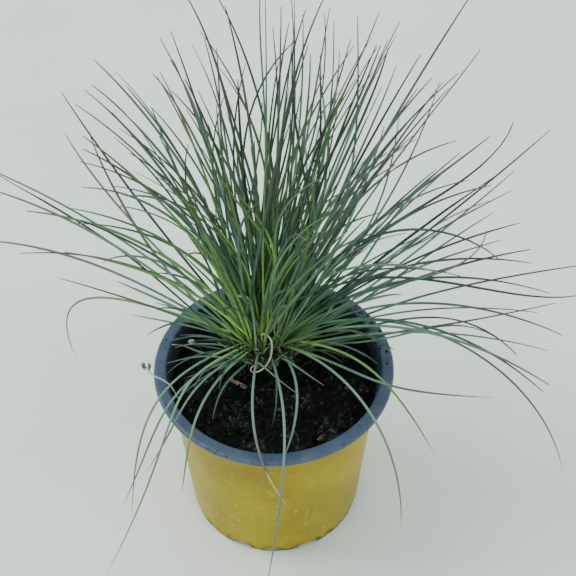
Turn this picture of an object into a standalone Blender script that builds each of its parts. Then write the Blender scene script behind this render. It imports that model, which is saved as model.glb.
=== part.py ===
"""Potted blue fescue clump: a tapered nursery pot, its potting mix and a tufted grass plant.

The origin is the centre of the pot's foot, +Z is up and -Y is the front. Lengths are in metres:
a value written as a number times MM is a number of millimetres.
"""

import math

import bmesh
import bpy
import numpy as np
from mathutils import Matrix

MM = 0.001
GAP = 0.3 * MM

# Pot: one thin moulded wall with a flat rolled lip.
POT_HEIGHT = 90.0 * MM
RIM_RADIUS = 52.5 * MM
WALL = 0.9 * MM
WALL_TOP_RADIUS = 46.3 * MM
WALL_FOOT_RADIUS = 40.3 * MM
FLARE = 1.7 * MM
FLARE_START = 72.0 * MM
FLARE_HEIGHTS = (72.0 * MM, 76.0 * MM, 80.0 * MM, 84.0 * MM)
FLOOR = 1.0 * MM
LIP_SKIRT = 0.6 * MM
LIP_BEND = 1.2 * MM
LIP_EDGE = 1.2 * MM
POT_STEPS = 56

# Drain notches cut through the foot of the wall.
NOTCH_COUNT = 8
NOTCH_WIDTH = 10.0 * MM
NOTCH_HEIGHT = 3.6 * MM
NOTCH_REACH = 5.0 * MM
NOTCH_FIRST_HEADING = 21.5

# Potting mix, filled to a little under the lip.
MIX_TOP = 83.0 * MM
MIX_EDGE_TOP = 82.0 * MM
MIX_SIDE = 77.0 * MM
MIX_FLAT_RADIUS = 34.0 * MM

# Crown: the low dome of old leaf sheaths from which every leaf grows, set back from the pot's axis.
CROWN_X = -4.0 * MM
CROWN_Y = 16.0 * MM
CROWN_Z = 81.5 * MM
CROWN_RADIUS = 14.0 * MM
CROWN_RISE = 8.0 * MM

# Tufts of leaves stand in rings on the crown. Each ring: name, distance of its roots from the
# crown's axis, count, first heading, step between headings, lean from upright, further lean gained
# by the tip, and length. Headings are degrees from +X towards +Y.
TUFT_RINGS = (
    ("heart_tuft", 0.0, 1, 90.0, 0.0, 2.0, 4.0, 144.0 * MM),
    ("inner_tuft", 4.3 * MM, 6, 75.0, 60.0, 10.0, 6.0, 150.0 * MM),
    ("middle_tuft", 8.3 * MM, 10, 90.0, 36.0, 23.0, 10.0, 149.0 * MM),
    ("outer_tuft", 12.0 * MM, 12, -4.0, 17.5, 42.0, 14.0, 142.0 * MM),
    ("right_skirt_tuft", 13.3 * MM, 5, 5.0, 17.5, 62.0, 20.0, 140.0 * MM),
    ("left_skirt_tuft", 13.3 * MM, 3, 127.0, 17.5, 58.0, 22.0, 122.0 * MM),
)
TUFT_POINTS = 8
TUFT_RADIUS = 1.7 * MM
TUFT_FOOT = 0.55
TUFT_TIP = 0.2

# Single leaves that arch out over the lip. Each: name, heading of its root on the crown, then the
# shoulder, knee and tip that it passes through, as (x, y, z) in millimetres.
ARCHING_LEAVES = (
    ("front_leaf_1", -110.0, (-9, -22, 99), (-7, -48, 95), (4, -59, 71)),
    ("front_leaf_2", -78.0, (3, -26, 99), (3, -58, 90), (-5, -66, 12)),
    ("front_leaf_3", -62.0, (9, -15, 97), (8, -38, 97), (4, -50, 93)),
    ("front_leaf_4", -48.0, (26, -15, 101), (45, -43, 92), (53, -60, 52)),
    ("front_leaf_5", -23.0, (28, 0, 98), (48, -17, 95), (68, -34, 70)),
    ("front_leaf_6", -35.0, (32, -8, 95), (53, -20, 97), (92, -22, 92)),
    ("left_leaf_1", -120.0, (-27, -20, 97), (-35, -42, 92), (-40, -47, 62)),
    ("left_leaf_2", -131.0, (-31, -16, 97), (-41, -34, 95), (-55, -42, 70)),
    ("left_leaf_3", -141.0, (-35, -22, 105), (-47, -45, 90), (-77, -57, 12)),
    ("left_leaf_4", -151.0, (-37, -18, 99), (-50, -38, 92), (-67, -45, 48)),
    ("left_leaf_5", -161.0, (-40, -12, 97), (-55, -34, 88), (-64, -42, 38)),
    ("left_leaf_6", -171.0, (-27, 8, 88), (-36, 9, 90), (-45, 10, 92)),
    ("left_leaf_7", 179.0, (-40, 18, 102), (-80, 24, 108), (-91, 20, 72)),
    ("right_leaf_1", -13.0, (56, 7, 107), (103, -8, 86), (131, -24, 40)),
)
LEAF_ROOT_DISTANCE = 13.4 * MM
LEAF_ROOT_RISE = 1.2 * MM
LEAF_POINTS = 12
LEAF_RADIUS = 0.6 * MM
LEAF_FOOT = 0.85
LEAF_TIP = 0.35

# A withered leaf that curls over the front of the crown.
DRY_LEAF_ROUTE = (
    (-7.2, 8.0, 88.6), (-7.2, 7.8, 97.0), (-6.0, 6.6, 103.5), (-3.6, 5.0, 106.5), (-1.3, 3.4, 104.0),
    (-0.8, 2.5, 99.0), (-1.2, 1.8, 94.5), (-2.6, 0.6, 91.0), (-4.6, -1.1, 88.6), (-6.8, -2.2, 87.4),
)
DRY_LEAF_RADIUS = 0.45 * MM

# A small weed that leans out over the lip: its stem, then a tight head of leaves.
WEED_ROUTE = (
    (-41.8, -12.6, 83.2), (-43.2, -12.0, 87.0), (-44.9, -11.4, 90.6), (-47.6, -11.1, 93.8),
    (-50.6, -11.3, 96.4), (-53.0, -11.0, 98.3), (-55.0, -9.4, 100.2),
)
WEED_THICKNESS = (0.4, 0.35, 0.35, 0.35, 0.5, 1.5, 0.8)

# Loose pieces on the potting mix: name, centre, length, width, height, heading.
BARK_CHIPS = (
    ("bark_chip_1", (-15.8, -6.0), (10.0, 2.6, 1.4), -30.0),
    ("bark_chip_2", (19.0, -35.5), (3.4, 1.4, 0.9), 35.0),
)
PERLITE_CENTRE = (-37.0, 18.0)
PERLITE_SIZE = (3.4, 2.8, 2.4)

POT_YELLOW = (0.40, 0.27, 0.045, 1.0)
PEAT_BLACK = (0.012, 0.010, 0.008, 1.0)
SHEATH_TAN = (0.23, 0.17, 0.09, 1.0)
LEAF_BLUE_GREEN = (0.085, 0.16, 0.11, 1.0)
STRAW = (0.50, 0.40, 0.22, 1.0)
WEED_GREEN = (0.16, 0.27, 0.05, 1.0)
BARK_BROWN = (0.36, 0.22, 0.11, 1.0)
PERLITE_WHITE = (0.62, 0.60, 0.55, 1.0)


def clear_scene():
    """Remove every object that the scene starts with."""
    for obj in list(bpy.data.objects):
        bpy.data.objects.remove(obj, do_unlink=True)


def new_collection(name):
    """A collection of this name in the scene."""
    collection = bpy.data.collections.new(name)
    bpy.context.scene.collection.children.link(collection)
    return collection


def new_material(name, colour, roughness):
    """A plain Principled material for a part that isn't metal."""
    material = bpy.data.materials.new(name)
    material.use_nodes = True
    shader = material.node_tree.nodes["Principled BSDF"]
    shader.inputs["Base Color"].default_value = colour
    shader.inputs["Roughness"].default_value = roughness
    shader.inputs["Metallic"].default_value = 0.0
    return material


def add_object(name, data, material, collection):
    """Put this mesh or curve in the collection as a named object with one material."""
    data.materials.append(material)
    obj = bpy.data.objects.new(name, data)
    collection.objects.link(obj)
    return obj


def arc(centre_r, centre_z, radius, start, end, count):
    """Points of a profile arc, from the start angle to the end angle in degrees."""
    angles = np.radians(np.linspace(start, end, count))
    return [(centre_r + radius * math.cos(a), centre_z + radius * math.sin(a)) for a in angles]


def turned(name, profile, material, collection):
    """A solid of revolution about Z from (radius, height) points that start and end on the axis."""
    mesh = bpy.data.meshes.new(name)
    points = [(radius, 0.0, height) for radius, height in profile]
    mesh.from_pydata(points, [(i, i + 1) for i in range(len(points) - 1)], [])
    obj = add_object(name, mesh, material, collection)
    screw = obj.modifiers.new("Turn", "SCREW")
    screw.steps = POT_STEPS
    screw.render_steps = POT_STEPS
    screw.use_merge_vertices = True
    screw.merge_threshold = 0.00001
    screw.use_smooth_shade = True
    return obj


def inner_wall_radius(height):
    """The radius of the pot's inner face at this height: a straight taper, then a flare to the lip."""
    share = height / POT_HEIGHT
    taper = WALL_FOOT_RADIUS + (WALL_TOP_RADIUS - WALL_FOOT_RADIUS) * share
    flare_share = max(0.0, (height - FLARE_START) / (POT_HEIGHT - FLARE_START))
    return taper + FLARE * flare_share**2 - WALL


def pot_profile():
    """The pot's section: floor, inner wall, lip, skirt, outer wall and foot."""
    bend_z = POT_HEIGHT - LIP_BEND
    bend_r = inner_wall_radius(bend_z) + LIP_BEND
    edge_r = RIM_RADIUS - LIP_EDGE
    edge_z = POT_HEIGHT - LIP_EDGE
    skirt_z = edge_z - LIP_SKIRT
    profile = [(0.0, FLOOR), (WALL_FOOT_RADIUS - 2.4 * MM, FLOOR)]
    profile += [(inner_wall_radius(2.4 * MM), 2.4 * MM)]
    profile += [(inner_wall_radius(height), height) for height in FLARE_HEIGHTS]
    profile += arc(bend_r, bend_z, LIP_BEND, 180.0, 90.0, 4)
    profile += arc(edge_r, edge_z, LIP_EDGE, 90.0, 0.0, 4)
    profile += [(RIM_RADIUS, skirt_z), (RIM_RADIUS - WALL, skirt_z)]
    profile += arc(edge_r, edge_z, LIP_EDGE - WALL, 0.0, 90.0, 2)
    profile += arc(bend_r, bend_z, LIP_BEND - WALL, 90.0, 180.0, 3)
    profile += [(inner_wall_radius(height) + WALL, height) for height in reversed(FLARE_HEIGHTS)]
    profile += arc(WALL_FOOT_RADIUS - 1.2 * MM, 1.2 * MM, 1.2 * MM, 0.0, -90.0, 3)
    profile += [(0.0, 0.0)]
    return profile


def notch_cutter(collection):
    """One mesh of blocks, one for each drain notch, set round the pot's foot."""
    blocks = bmesh.new()
    size = Matrix.Diagonal((2.0 * NOTCH_REACH, NOTCH_WIDTH, 2.0 * NOTCH_HEIGHT, 1.0))
    place = Matrix.Translation((WALL_FOOT_RADIUS, 0.0, 0.0))
    for i in range(NOTCH_COUNT):
        heading = math.radians(NOTCH_FIRST_HEADING + i * 360.0 / NOTCH_COUNT)
        turn = Matrix.Rotation(heading, 4, "Z")
        bmesh.ops.create_cube(blocks, size=1.0, matrix=turn @ place @ size)
    mesh = bpy.data.meshes.new("drain_notch_cutter")
    blocks.to_mesh(mesh)
    blocks.free()
    cutter = bpy.data.objects.new("drain_notch_cutter", mesh)
    collection.objects.link(cutter)
    cutter.hide_render = True
    cutter.display_type = "WIRE"
    return cutter


def make_pot(parts, cutters):
    """The pot, with its drain notches cut."""
    pot = turned("pot", pot_profile(), new_material("pot_plastic", POT_YELLOW, 0.5), parts)
    cut = pot.modifiers.new("Drain notches", "BOOLEAN")
    cut.operation = "DIFFERENCE"
    cut.solver = "EXACT"
    cut.object = notch_cutter(cutters)


def make_potting_mix(parts):
    """The block of potting mix that fills the pot."""
    foot_z = FLOOR + GAP
    bevel_z = 3.2 * MM
    profile = [
        (0.0, MIX_TOP),
        (MIX_FLAT_RADIUS, MIX_TOP),
        (inner_wall_radius(MIX_EDGE_TOP) - GAP, MIX_EDGE_TOP),
        (inner_wall_radius(MIX_SIDE) - GAP, MIX_SIDE),
        (inner_wall_radius(FLARE_START) - GAP, FLARE_START),
        (inner_wall_radius(bevel_z) - GAP, bevel_z),
        (WALL_FOOT_RADIUS - 3.2 * MM, foot_z),
        (0.0, foot_z),
    ]
    turned("potting_mix", profile, new_material("peat_mix", PEAT_BLACK, 0.95), parts)


def make_crown(parts):
    """The crown: the top of a squashed ball, cut off flat just above the mix."""
    mesh_data = bmesh.new()
    bmesh.ops.create_uvsphere(mesh_data, u_segments=24, v_segments=12, radius=1.0)
    bmesh.ops.scale(mesh_data, verts=mesh_data.verts, vec=(CROWN_RADIUS, CROWN_RADIUS, CROWN_RISE))
    bmesh.ops.translate(mesh_data, verts=mesh_data.verts, vec=(CROWN_X, CROWN_Y, CROWN_Z))
    cut = bmesh.ops.bisect_plane(
        mesh_data,
        geom=list(mesh_data.verts) + list(mesh_data.edges) + list(mesh_data.faces),
        plane_co=(0.0, 0.0, MIX_TOP + GAP),
        plane_no=(0.0, 0.0, -1.0),
        clear_outer=True,
    )
    rim = [e for e in cut["geom_cut"] if isinstance(e, bmesh.types.BMEdge)]
    bmesh.ops.holes_fill(mesh_data, edges=rim)
    bmesh.ops.recalc_face_normals(mesh_data, faces=mesh_data.faces)
    mesh = bpy.data.meshes.new("crown")
    mesh_data.to_mesh(mesh)
    mesh_data.free()
    mesh.shade_smooth()
    add_object("crown", mesh, new_material("leaf_sheath", SHEATH_TAN, 0.8), parts)


def crown_point(distance, heading, lift):
    """A point on the crown's dome, this far from its axis, raised by lift along the dome's normal."""
    share = distance / CROWN_RADIUS
    height = CROWN_RISE * math.sqrt(max(0.0, 1.0 - share * share))
    across = distance / CROWN_RADIUS**2
    up = height / CROWN_RISE**2
    size = math.hypot(across, up)
    reach = distance + lift * across / size
    angle = math.radians(heading)
    return np.array((
        CROWN_X + reach * math.cos(angle),
        CROWN_Y + reach * math.sin(angle),
        CROWN_Z + height + lift * up / size,
    ))


def rod(name, points, radii, sides_level, material, collection):
    """A tapered round rod along these points, closed at both ends."""
    curve = bpy.data.curves.new(name, "CURVE")
    curve.dimensions = "3D"
    curve.fill_mode = "FULL"
    curve.bevel_depth = 1.0
    curve.bevel_resolution = sides_level
    curve.use_fill_caps = True
    spline = curve.splines.new("POLY")
    spline.points.add(len(points) - 1)
    for target, point, radius in zip(spline.points, points, radii):
        target.co = (*point, 1.0)
        target.radius = radius
    spline.use_smooth = True
    return add_object(name, curve, material, collection)


def tuft_route(root, heading, lean, droop, length):
    """Points along a tuft that leaves its root at the given lean and bows further over to its tip."""
    share = np.linspace(0.0, 1.0, TUFT_POINTS)
    middle = (share[1:] + share[:-1]) / 2.0
    tilt = np.radians(lean + droop * middle**1.6)
    angle = math.radians(heading)
    outward = np.sin(tilt)
    step = np.stack((outward * math.cos(angle), outward * math.sin(angle), np.cos(tilt)), axis=1)
    travelled = np.cumsum(step, axis=0) * length / (TUFT_POINTS - 1)
    return np.vstack((root, root + travelled))


def tuft_radii():
    """A tuft's radius along its length: narrow foot, widest below its middle, thin tip."""
    share = np.linspace(0.0, 1.0, TUFT_POINTS)
    swell = TUFT_FOOT + (1.0 - TUFT_FOOT) * np.sin(np.pi * np.minimum(share / 0.8, 1.0))
    taper = 1.0 - (1.0 - TUFT_TIP / TUFT_FOOT) * share**4
    return TUFT_RADIUS * swell * taper


def make_tufts(parts, material):
    """Every tuft of leaves, ring by ring from the heart outwards."""
    radii = tuft_radii()
    foot_lift = GAP + TUFT_RADIUS * TUFT_FOOT * 0.45
    for name, distance, count, first, step, lean, droop, length in TUFT_RINGS:
        for i in range(count):
            heading = first + i * step
            root = crown_point(distance, heading, foot_lift)
            route = tuft_route(root, heading, lean, droop, length)
            label = name if count == 1 else f"{name}_{i + 1}"
            rod(label, route, radii, 1, material, parts)


def through(points, count):
    """A smooth route of this many points through four given ones, which it meets at even shares."""
    share = np.linspace(0.0, 3.0, count)
    route = np.zeros((count, 3))
    for i, point in enumerate(points):
        weight = np.ones(count)
        for j in range(len(points)):
            if j != i:
                weight *= (share - j) / (i - j)
        route += weight[:, None] * np.asarray(point)
    return route


def make_arching_leaves(parts, material):
    """The single leaves that arch out over the lip, each from its own root on the crown."""
    share = np.linspace(0.0, 1.0, LEAF_POINTS)
    swell = np.minimum(1.0, LEAF_FOOT + share)
    radii = LEAF_RADIUS * (swell - (1.0 - LEAF_TIP) * share**3)
    for name, heading, shoulder, knee, tip in ARCHING_LEAVES:
        root = crown_point(LEAF_ROOT_DISTANCE, heading, LEAF_ROOT_RISE)
        others = [np.array(point) * MM for point in (shoulder, knee, tip)]
        rod(name, through([root, *others], LEAF_POINTS), radii, 0, material, parts)


def make_dry_leaf(parts):
    """The withered leaf, rising from the crown's front and curling down onto it."""
    points = np.array(DRY_LEAF_ROUTE) * MM
    radii = np.full(len(points), DRY_LEAF_RADIUS)
    rod("dry_curled_leaf", points, radii, 0, new_material("dry_leaf", STRAW, 0.7), parts)


def make_weed(parts):
    """The weed seedling: a fine stem that swells into its head of small leaves."""
    points = np.array(WEED_ROUTE) * MM
    radii = np.array(WEED_THICKNESS) * MM
    rod("weed_seedling", points, radii, 1, new_material("weed_leaf", WEED_GREEN, 0.6), parts)


def place_mesh(name, mesh_data, centre, heading, material, parts):
    """Make a loose piece from this shape, turned to its heading and lying on the potting mix."""
    mesh = bpy.data.meshes.new(name)
    lowest = min(v.co.z for v in mesh_data.verts)
    mesh_data.to_mesh(mesh)
    mesh_data.free()
    obj = add_object(name, mesh, material, parts)
    obj.location = (centre[0] * MM, centre[1] * MM, MIX_TOP + GAP - lowest)
    obj.rotation_euler = (0.0, 0.0, math.radians(heading))
    return obj


def make_loose_pieces(parts):
    """The bark chips and the grain of perlite that lie on the mix."""
    bark = new_material("bark", BARK_BROWN, 0.85)
    for name, centre, size, heading in BARK_CHIPS:
        chip = bmesh.new()
        bmesh.ops.create_cube(chip, size=MM)
        bmesh.ops.scale(chip, verts=chip.verts, vec=size)
        bmesh.ops.bevel(chip, geom=list(chip.edges), offset=0.35 * MM, segments=1, affect="EDGES")
        place_mesh(name, chip, centre, heading, bark, parts)
    grain = bmesh.new()
    bmesh.ops.create_icosphere(grain, subdivisions=2, radius=0.5 * MM)
    bmesh.ops.scale(grain, verts=grain.verts, vec=PERLITE_SIZE)
    perlite = new_material("perlite", PERLITE_WHITE, 0.9)
    place_mesh("perlite_grain", grain, PERLITE_CENTRE, 20.0, perlite, parts)


def main():
    """Build the whole potted plant."""
    clear_scene()
    parts = new_collection("potted_blue_fescue")
    cutters = new_collection("cutters")
    leaf = new_material("fescue_leaf", LEAF_BLUE_GREEN, 0.55)
    make_pot(parts, cutters)
    make_potting_mix(parts)
    make_crown(parts)
    make_tufts(parts, leaf)
    make_arching_leaves(parts, leaf)
    make_dry_leaf(parts)
    make_weed(parts)
    make_loose_pieces(parts)


main()
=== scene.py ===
"""Looks of a potted blue fescue clump: pot, peat, crown, leaves and the small things lying in the pot.

Every shape is a surface worked out with numpy, in metres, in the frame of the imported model. The pot's
foot is centred on the origin, +Z is up and -Y is the front.
"""

import logging
import math
from dataclasses import dataclass, field, fields, replace
from enum import Enum
from typing import Sequence

import bpy
import numpy as np
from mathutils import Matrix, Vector


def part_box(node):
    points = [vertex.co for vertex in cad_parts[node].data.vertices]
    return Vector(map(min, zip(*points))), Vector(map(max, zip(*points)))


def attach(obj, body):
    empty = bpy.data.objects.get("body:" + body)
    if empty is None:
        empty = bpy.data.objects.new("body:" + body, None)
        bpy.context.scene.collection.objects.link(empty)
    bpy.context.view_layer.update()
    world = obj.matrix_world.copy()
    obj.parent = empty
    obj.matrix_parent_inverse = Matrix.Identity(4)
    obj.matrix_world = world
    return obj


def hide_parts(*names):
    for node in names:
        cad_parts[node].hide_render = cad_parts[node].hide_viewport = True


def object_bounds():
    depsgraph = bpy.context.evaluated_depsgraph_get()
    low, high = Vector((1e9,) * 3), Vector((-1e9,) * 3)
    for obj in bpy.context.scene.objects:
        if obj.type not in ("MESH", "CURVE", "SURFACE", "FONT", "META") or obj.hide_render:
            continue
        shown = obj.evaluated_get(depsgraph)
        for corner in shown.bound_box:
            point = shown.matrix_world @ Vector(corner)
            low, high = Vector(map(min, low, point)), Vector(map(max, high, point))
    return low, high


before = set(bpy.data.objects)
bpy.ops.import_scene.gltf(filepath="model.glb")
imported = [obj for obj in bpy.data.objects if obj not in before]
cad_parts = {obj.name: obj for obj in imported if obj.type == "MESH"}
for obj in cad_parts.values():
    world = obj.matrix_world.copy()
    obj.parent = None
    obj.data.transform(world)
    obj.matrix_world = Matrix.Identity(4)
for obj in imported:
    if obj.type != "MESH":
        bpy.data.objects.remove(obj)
CAD_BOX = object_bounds()

MM = 0.001
BODY = "root"
LOG = logging.getLogger("blue_fescue")

UP = np.array((0.0, 0.0, 1.0))

Colour = tuple[float, float, float, float]
Point = tuple[float, float, float]
Span = float | tuple[float, float]


# ---------------------------------------------------------------------------------------------------
# Arrays to meshes
# ---------------------------------------------------------------------------------------------------


def add_to_scene(name: str, data: bpy.types.ID) -> bpy.types.Object:
    """Put this mesh, light or camera into the scene as an object at the origin."""
    thing = bpy.data.objects.new(name, data)
    bpy.context.scene.collection.objects.link(thing)
    return thing


def level_axes(heading: np.ndarray | float) -> tuple[np.ndarray, np.ndarray]:
    """Level unit directions out along headings in degrees from +X towards +Y, and across them."""
    angle = np.radians(heading)
    level = np.zeros_like(angle)
    out = np.stack((np.cos(angle), np.sin(angle), level), axis=-1)
    return out, np.stack((-np.sin(angle), np.cos(angle), level), axis=-1)


@dataclass
class Surface:
    """The arrays of one or more closed surfaces.

    Attributes:
        points: Corner positions, one row of x, y, z each.
        quads: Four-cornered faces.
        triangles: Three-cornered faces.
        quad_uv: A UV pair for each corner of each quad.
        triangle_uv: A UV pair for each corner of each triangle.
        mix: Four numbers for each point, which its finish reads as an attribute.
        finish_of_quad: The material index of each quad. Triangles take index 0.
    """

    points: np.ndarray
    quads: np.ndarray
    triangles: np.ndarray
    quad_uv: np.ndarray
    triangle_uv: np.ndarray
    mix: np.ndarray
    finish_of_quad: np.ndarray

    @staticmethod
    def joined(parts: Sequence["Surface"]) -> "Surface":
        """Stack several surfaces into one.

        Args:
            parts: The surfaces, in the order that their faces keep.

        Returns:
            One surface that holds them all.
        """
        starts = np.cumsum([0] + [len(part.points) for part in parts[:-1]])
        moved = [
            replace(part, quads=part.quads + start, triangles=part.triangles + start)
            for part, start in zip(parts, starts)
        ]
        columns = ([getattr(part, each.name) for part in moved] for each in fields(Surface))
        return Surface(*(np.concatenate(column) for column in columns))

    @staticmethod
    def of_rings(points: np.ndarray, corners: int, v_steps: int, mix: np.ndarray) -> "Surface":
        """Closed tubes: quads between one ring of points and the next, and a fan on each end.

        Args:
            points: (tubes, points of one, 3): its rings in order, then the first end's pole and the last's.
            corners: Points in a ring.
            v_steps: What a ring's number is divided by to give its V. U is the share of the way round.
            mix: (tubes, 4) numbers for the finish.

        Returns:
            The closed surfaces.
        """
        tubes_made, each, _ = points.shape
        rings = (each - 2) // corners
        row, column = np.meshgrid(np.arange(rings - 1), np.arange(corners), indexing="ij")
        u = column.reshape(-1, 1) + np.array((0, 1, 1, 0))
        v = row.reshape(-1, 1) + np.array((0, 0, 1, 1))
        quad = v * corners + u % corners
        ring = np.arange(corners)
        after = (ring + 1) % corners
        last = (rings - 1) * corners
        first_fan = np.stack((np.full(corners, each - 2), after, ring), axis=-1)
        last_fan = np.stack((np.full(corners, each - 1), last + ring, last + after), axis=-1)
        fan = np.concatenate((first_fan, last_fan))
        fan_uv = np.column_stack((np.tile(ring / corners, 2), np.repeat((0.0, 1.0), corners)))
        start = (np.arange(tubes_made) * each)[:, None, None]
        return Surface(
            points=points.reshape(-1, 3),
            quads=(quad[None] + start).reshape(-1, 4),
            triangles=(fan[None] + start).reshape(-1, 3),
            quad_uv=np.tile(np.stack((u / corners, v / v_steps), axis=-1), (tubes_made, 1, 1)),
            triangle_uv=np.tile(np.repeat(fan_uv[:, None], 3, axis=1), (tubes_made, 1, 1)),
            mix=np.repeat(mix, each, axis=0),
            finish_of_quad=np.zeros(tubes_made * len(quad), int),
        )

    def face_outwards(self) -> None:
        """Turn every face round if the signed volume, the sum of corner determinants, is negative."""
        fans = np.concatenate((self.quads[:, [0, 1, 2]], self.quads[:, [0, 2, 3]], self.triangles))
        corners = self.points[fans]
        volume = np.einsum("ij,ij->i", corners[:, 0], np.cross(corners[:, 1], corners[:, 2])).sum()
        if volume < 0.0:
            self.quads = self.quads[:, ::-1]
            self.quad_uv = self.quad_uv[:, ::-1]
            self.triangles = self.triangles[:, ::-1]
            self.triangle_uv = self.triangle_uv[:, ::-1]

    def make(self, name: str, finishes: Sequence[bpy.types.Material]) -> bpy.types.Object:
        """Put the arrays into a smooth-shaded mesh object at the origin.

        Args:
            name: The piece's name.
            finishes: Its materials, in the order of finish_of_quad.

        Returns:
            The new object, in the scene.
        """
        self.face_outwards()
        mesh = bpy.data.meshes.new(name)
        loops = np.concatenate((self.quads.ravel(), self.triangles.ravel())).astype(np.int32)
        sizes = np.concatenate((np.full(len(self.quads), 4), np.full(len(self.triangles), 3)))
        starts = np.concatenate(([0], np.cumsum(sizes)[:-1])).astype(np.int32)
        mesh.vertices.add(len(self.points))
        mesh.vertices.foreach_set("co", self.points.astype(np.float32).ravel())
        mesh.loops.add(len(loops))
        mesh.loops.foreach_set("vertex_index", loops)
        mesh.polygons.add(len(sizes))
        mesh.polygons.foreach_set("loop_start", starts)
        mesh.polygons.foreach_set("use_smooth", np.ones(len(sizes), bool))
        kinds = np.concatenate((self.finish_of_quad, np.zeros(len(self.triangles))))
        mesh.polygons.foreach_set("material_index", kinds.astype(np.int32))
        uv = np.concatenate((self.quad_uv.reshape(-1, 2), self.triangle_uv.reshape(-1, 2)))
        mesh.uv_layers.new(name="along").data.foreach_set("uv", uv.astype(np.float32).ravel())
        mix = mesh.attributes.new("mix", "FLOAT_COLOR", "POINT")
        mix.data.foreach_set("color", self.mix.astype(np.float32).ravel())
        for finish in finishes:
            mesh.materials.append(finish)
        mesh.update(calc_edges=True)
        mesh.validate()
        return add_to_scene(name, mesh)


def tubes(routes: np.ndarray, sides: np.ndarray, radii: np.ndarray, section: np.ndarray,
          mix: np.ndarray) -> Surface:
    """Carry one section along many routes at once.

    A point of the surface is the route's point, plus the radius times (the section's across number
    times the side direction, plus its up number times the side crossed with the tangent). Each end
    closes on a pole at the route's own end.

    Args:
        routes: (leaves, stations, 3) points along each route.
        sides: (leaves, stations, 3) unit directions square to the route.
        radii: (leaves, stations) radius at each station.
        section: (corners, 2) across and up numbers of the section, in order round it.
        mix: (leaves, 4) numbers for the finish.

    Returns:
        The closed surfaces, with U round the section and V from 0 at the root to 1 at the tip.
    """
    leaves, stations, _ = routes.shape
    corners = len(section)
    tangents = np.gradient(routes, axis=1)
    tangents /= np.linalg.norm(tangents, axis=2, keepdims=True)
    sides = sides - tangents * np.einsum("nkc,nkc->nk", sides, tangents)[..., None]
    sides = sides / np.linalg.norm(sides, axis=2, keepdims=True)
    ups = np.cross(sides, tangents)
    across = section[:, 0][None, None, :, None] * sides[:, :, None, :]
    upward = section[:, 1][None, None, :, None] * ups[:, :, None, :]
    skin = routes[:, :, None, :] + radii[:, :, None, None] * (across + upward)
    tip = routes[:, -1] + tangents[:, -1] * radii[:, -1:] * 2.0
    points = np.concatenate((skin.reshape(leaves, -1, 3), routes[:, :1], tip[:, None]), axis=1)
    return Surface.of_rings(points, corners, stations - 1, mix)


def turned(profile: np.ndarray, steps: int, finish_of_span: np.ndarray) -> Surface:
    """Turn a profile about Z: a point is (radius cos angle, radius sin angle, height).

    Args:
        profile: (stations, 2) radius and height, whose first and last points lie on the axis.
        steps: Number of faces round the axis.
        finish_of_span: The material index between each profile point and the next, poles left out.

    Returns:
        The closed surface.
    """
    rings = profile[1:-1]
    angle = np.arange(steps) * 2.0 * np.pi / steps
    skin = np.stack((
        rings[:, :1] * np.cos(angle),
        rings[:, :1] * np.sin(angle),
        np.repeat(rings[:, 1:], steps, axis=1),
    ), axis=-1)
    points = np.concatenate((skin.reshape(-1, 3), [[0, 0, profile[0, 1]], [0, 0, profile[-1, 1]]]))
    surface = Surface.of_rings(points[None], steps, len(rings), np.ones((1, 4)))
    surface.triangle_uv[:] = 0.0
    surface.finish_of_quad = np.repeat(finish_of_span, steps)
    return surface


def pebbles(centres: np.ndarray, sizes: np.ndarray, roughness: float, mix: np.ndarray,
            rng: np.random.Generator) -> Surface:
    """Scatter small lumps: each is a ball whose corners are pushed in and out, stretched and turned.

    A corner is the centre, plus a random turn of (its place on the ball times one plus a random share
    times the lump's three half-sizes).

    Args:
        centres: (lumps, 3) positions.
        sizes: (lumps, 3) half-sizes.
        roughness: How far corners are pushed, as a share of the radius.
        mix: (lumps, 4) numbers for the finish.
        rng: The source of random numbers.

    Returns:
        The closed surfaces.
    """
    rows, columns = 4, 7
    polar = np.pi * (np.arange(rows) + 1.0) / (rows + 1.0)
    around = np.arange(columns) * 2.0 * np.pi / columns
    skin = np.stack((
        np.outer(np.sin(polar), np.cos(around)),
        np.outer(np.sin(polar), np.sin(around)),
        np.outer(np.cos(polar), np.ones(columns)),
    ), axis=-1).reshape(-1, 3)
    ball = np.concatenate((skin, [[0.0, 0.0, 1.0], [0.0, 0.0, -1.0]]))
    lumps, each = len(centres), len(ball)
    push = 1.0 + roughness * rng.uniform(-1.0, 1.0, (lumps, each, 1))
    shape = ball[None] * push * sizes[:, None, :]
    turns = random_turns(lumps, rng)
    points = np.einsum("nij,nkj->nki", turns, shape) + centres[:, None, :]
    return Surface.of_rings(points, columns, rows, mix)


def random_turns(count: int, rng: np.random.Generator) -> np.ndarray:
    """Random rotations, from unit quaternions: (count, 3, 3) matrices."""
    quaternion = rng.normal(size=(count, 4))
    quaternion /= np.linalg.norm(quaternion, axis=1, keepdims=True)
    w, x, y, z = quaternion.T
    return np.stack((
        1 - 2 * (y * y + z * z), 2 * (x * y - w * z), 2 * (x * z + w * y),
        2 * (x * y + w * z), 1 - 2 * (x * x + z * z), 2 * (y * z - w * x),
        2 * (x * z - w * y), 2 * (y * z + w * x), 1 - 2 * (x * x + y * y),
    ), axis=-1).reshape(count, 3, 3)


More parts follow.
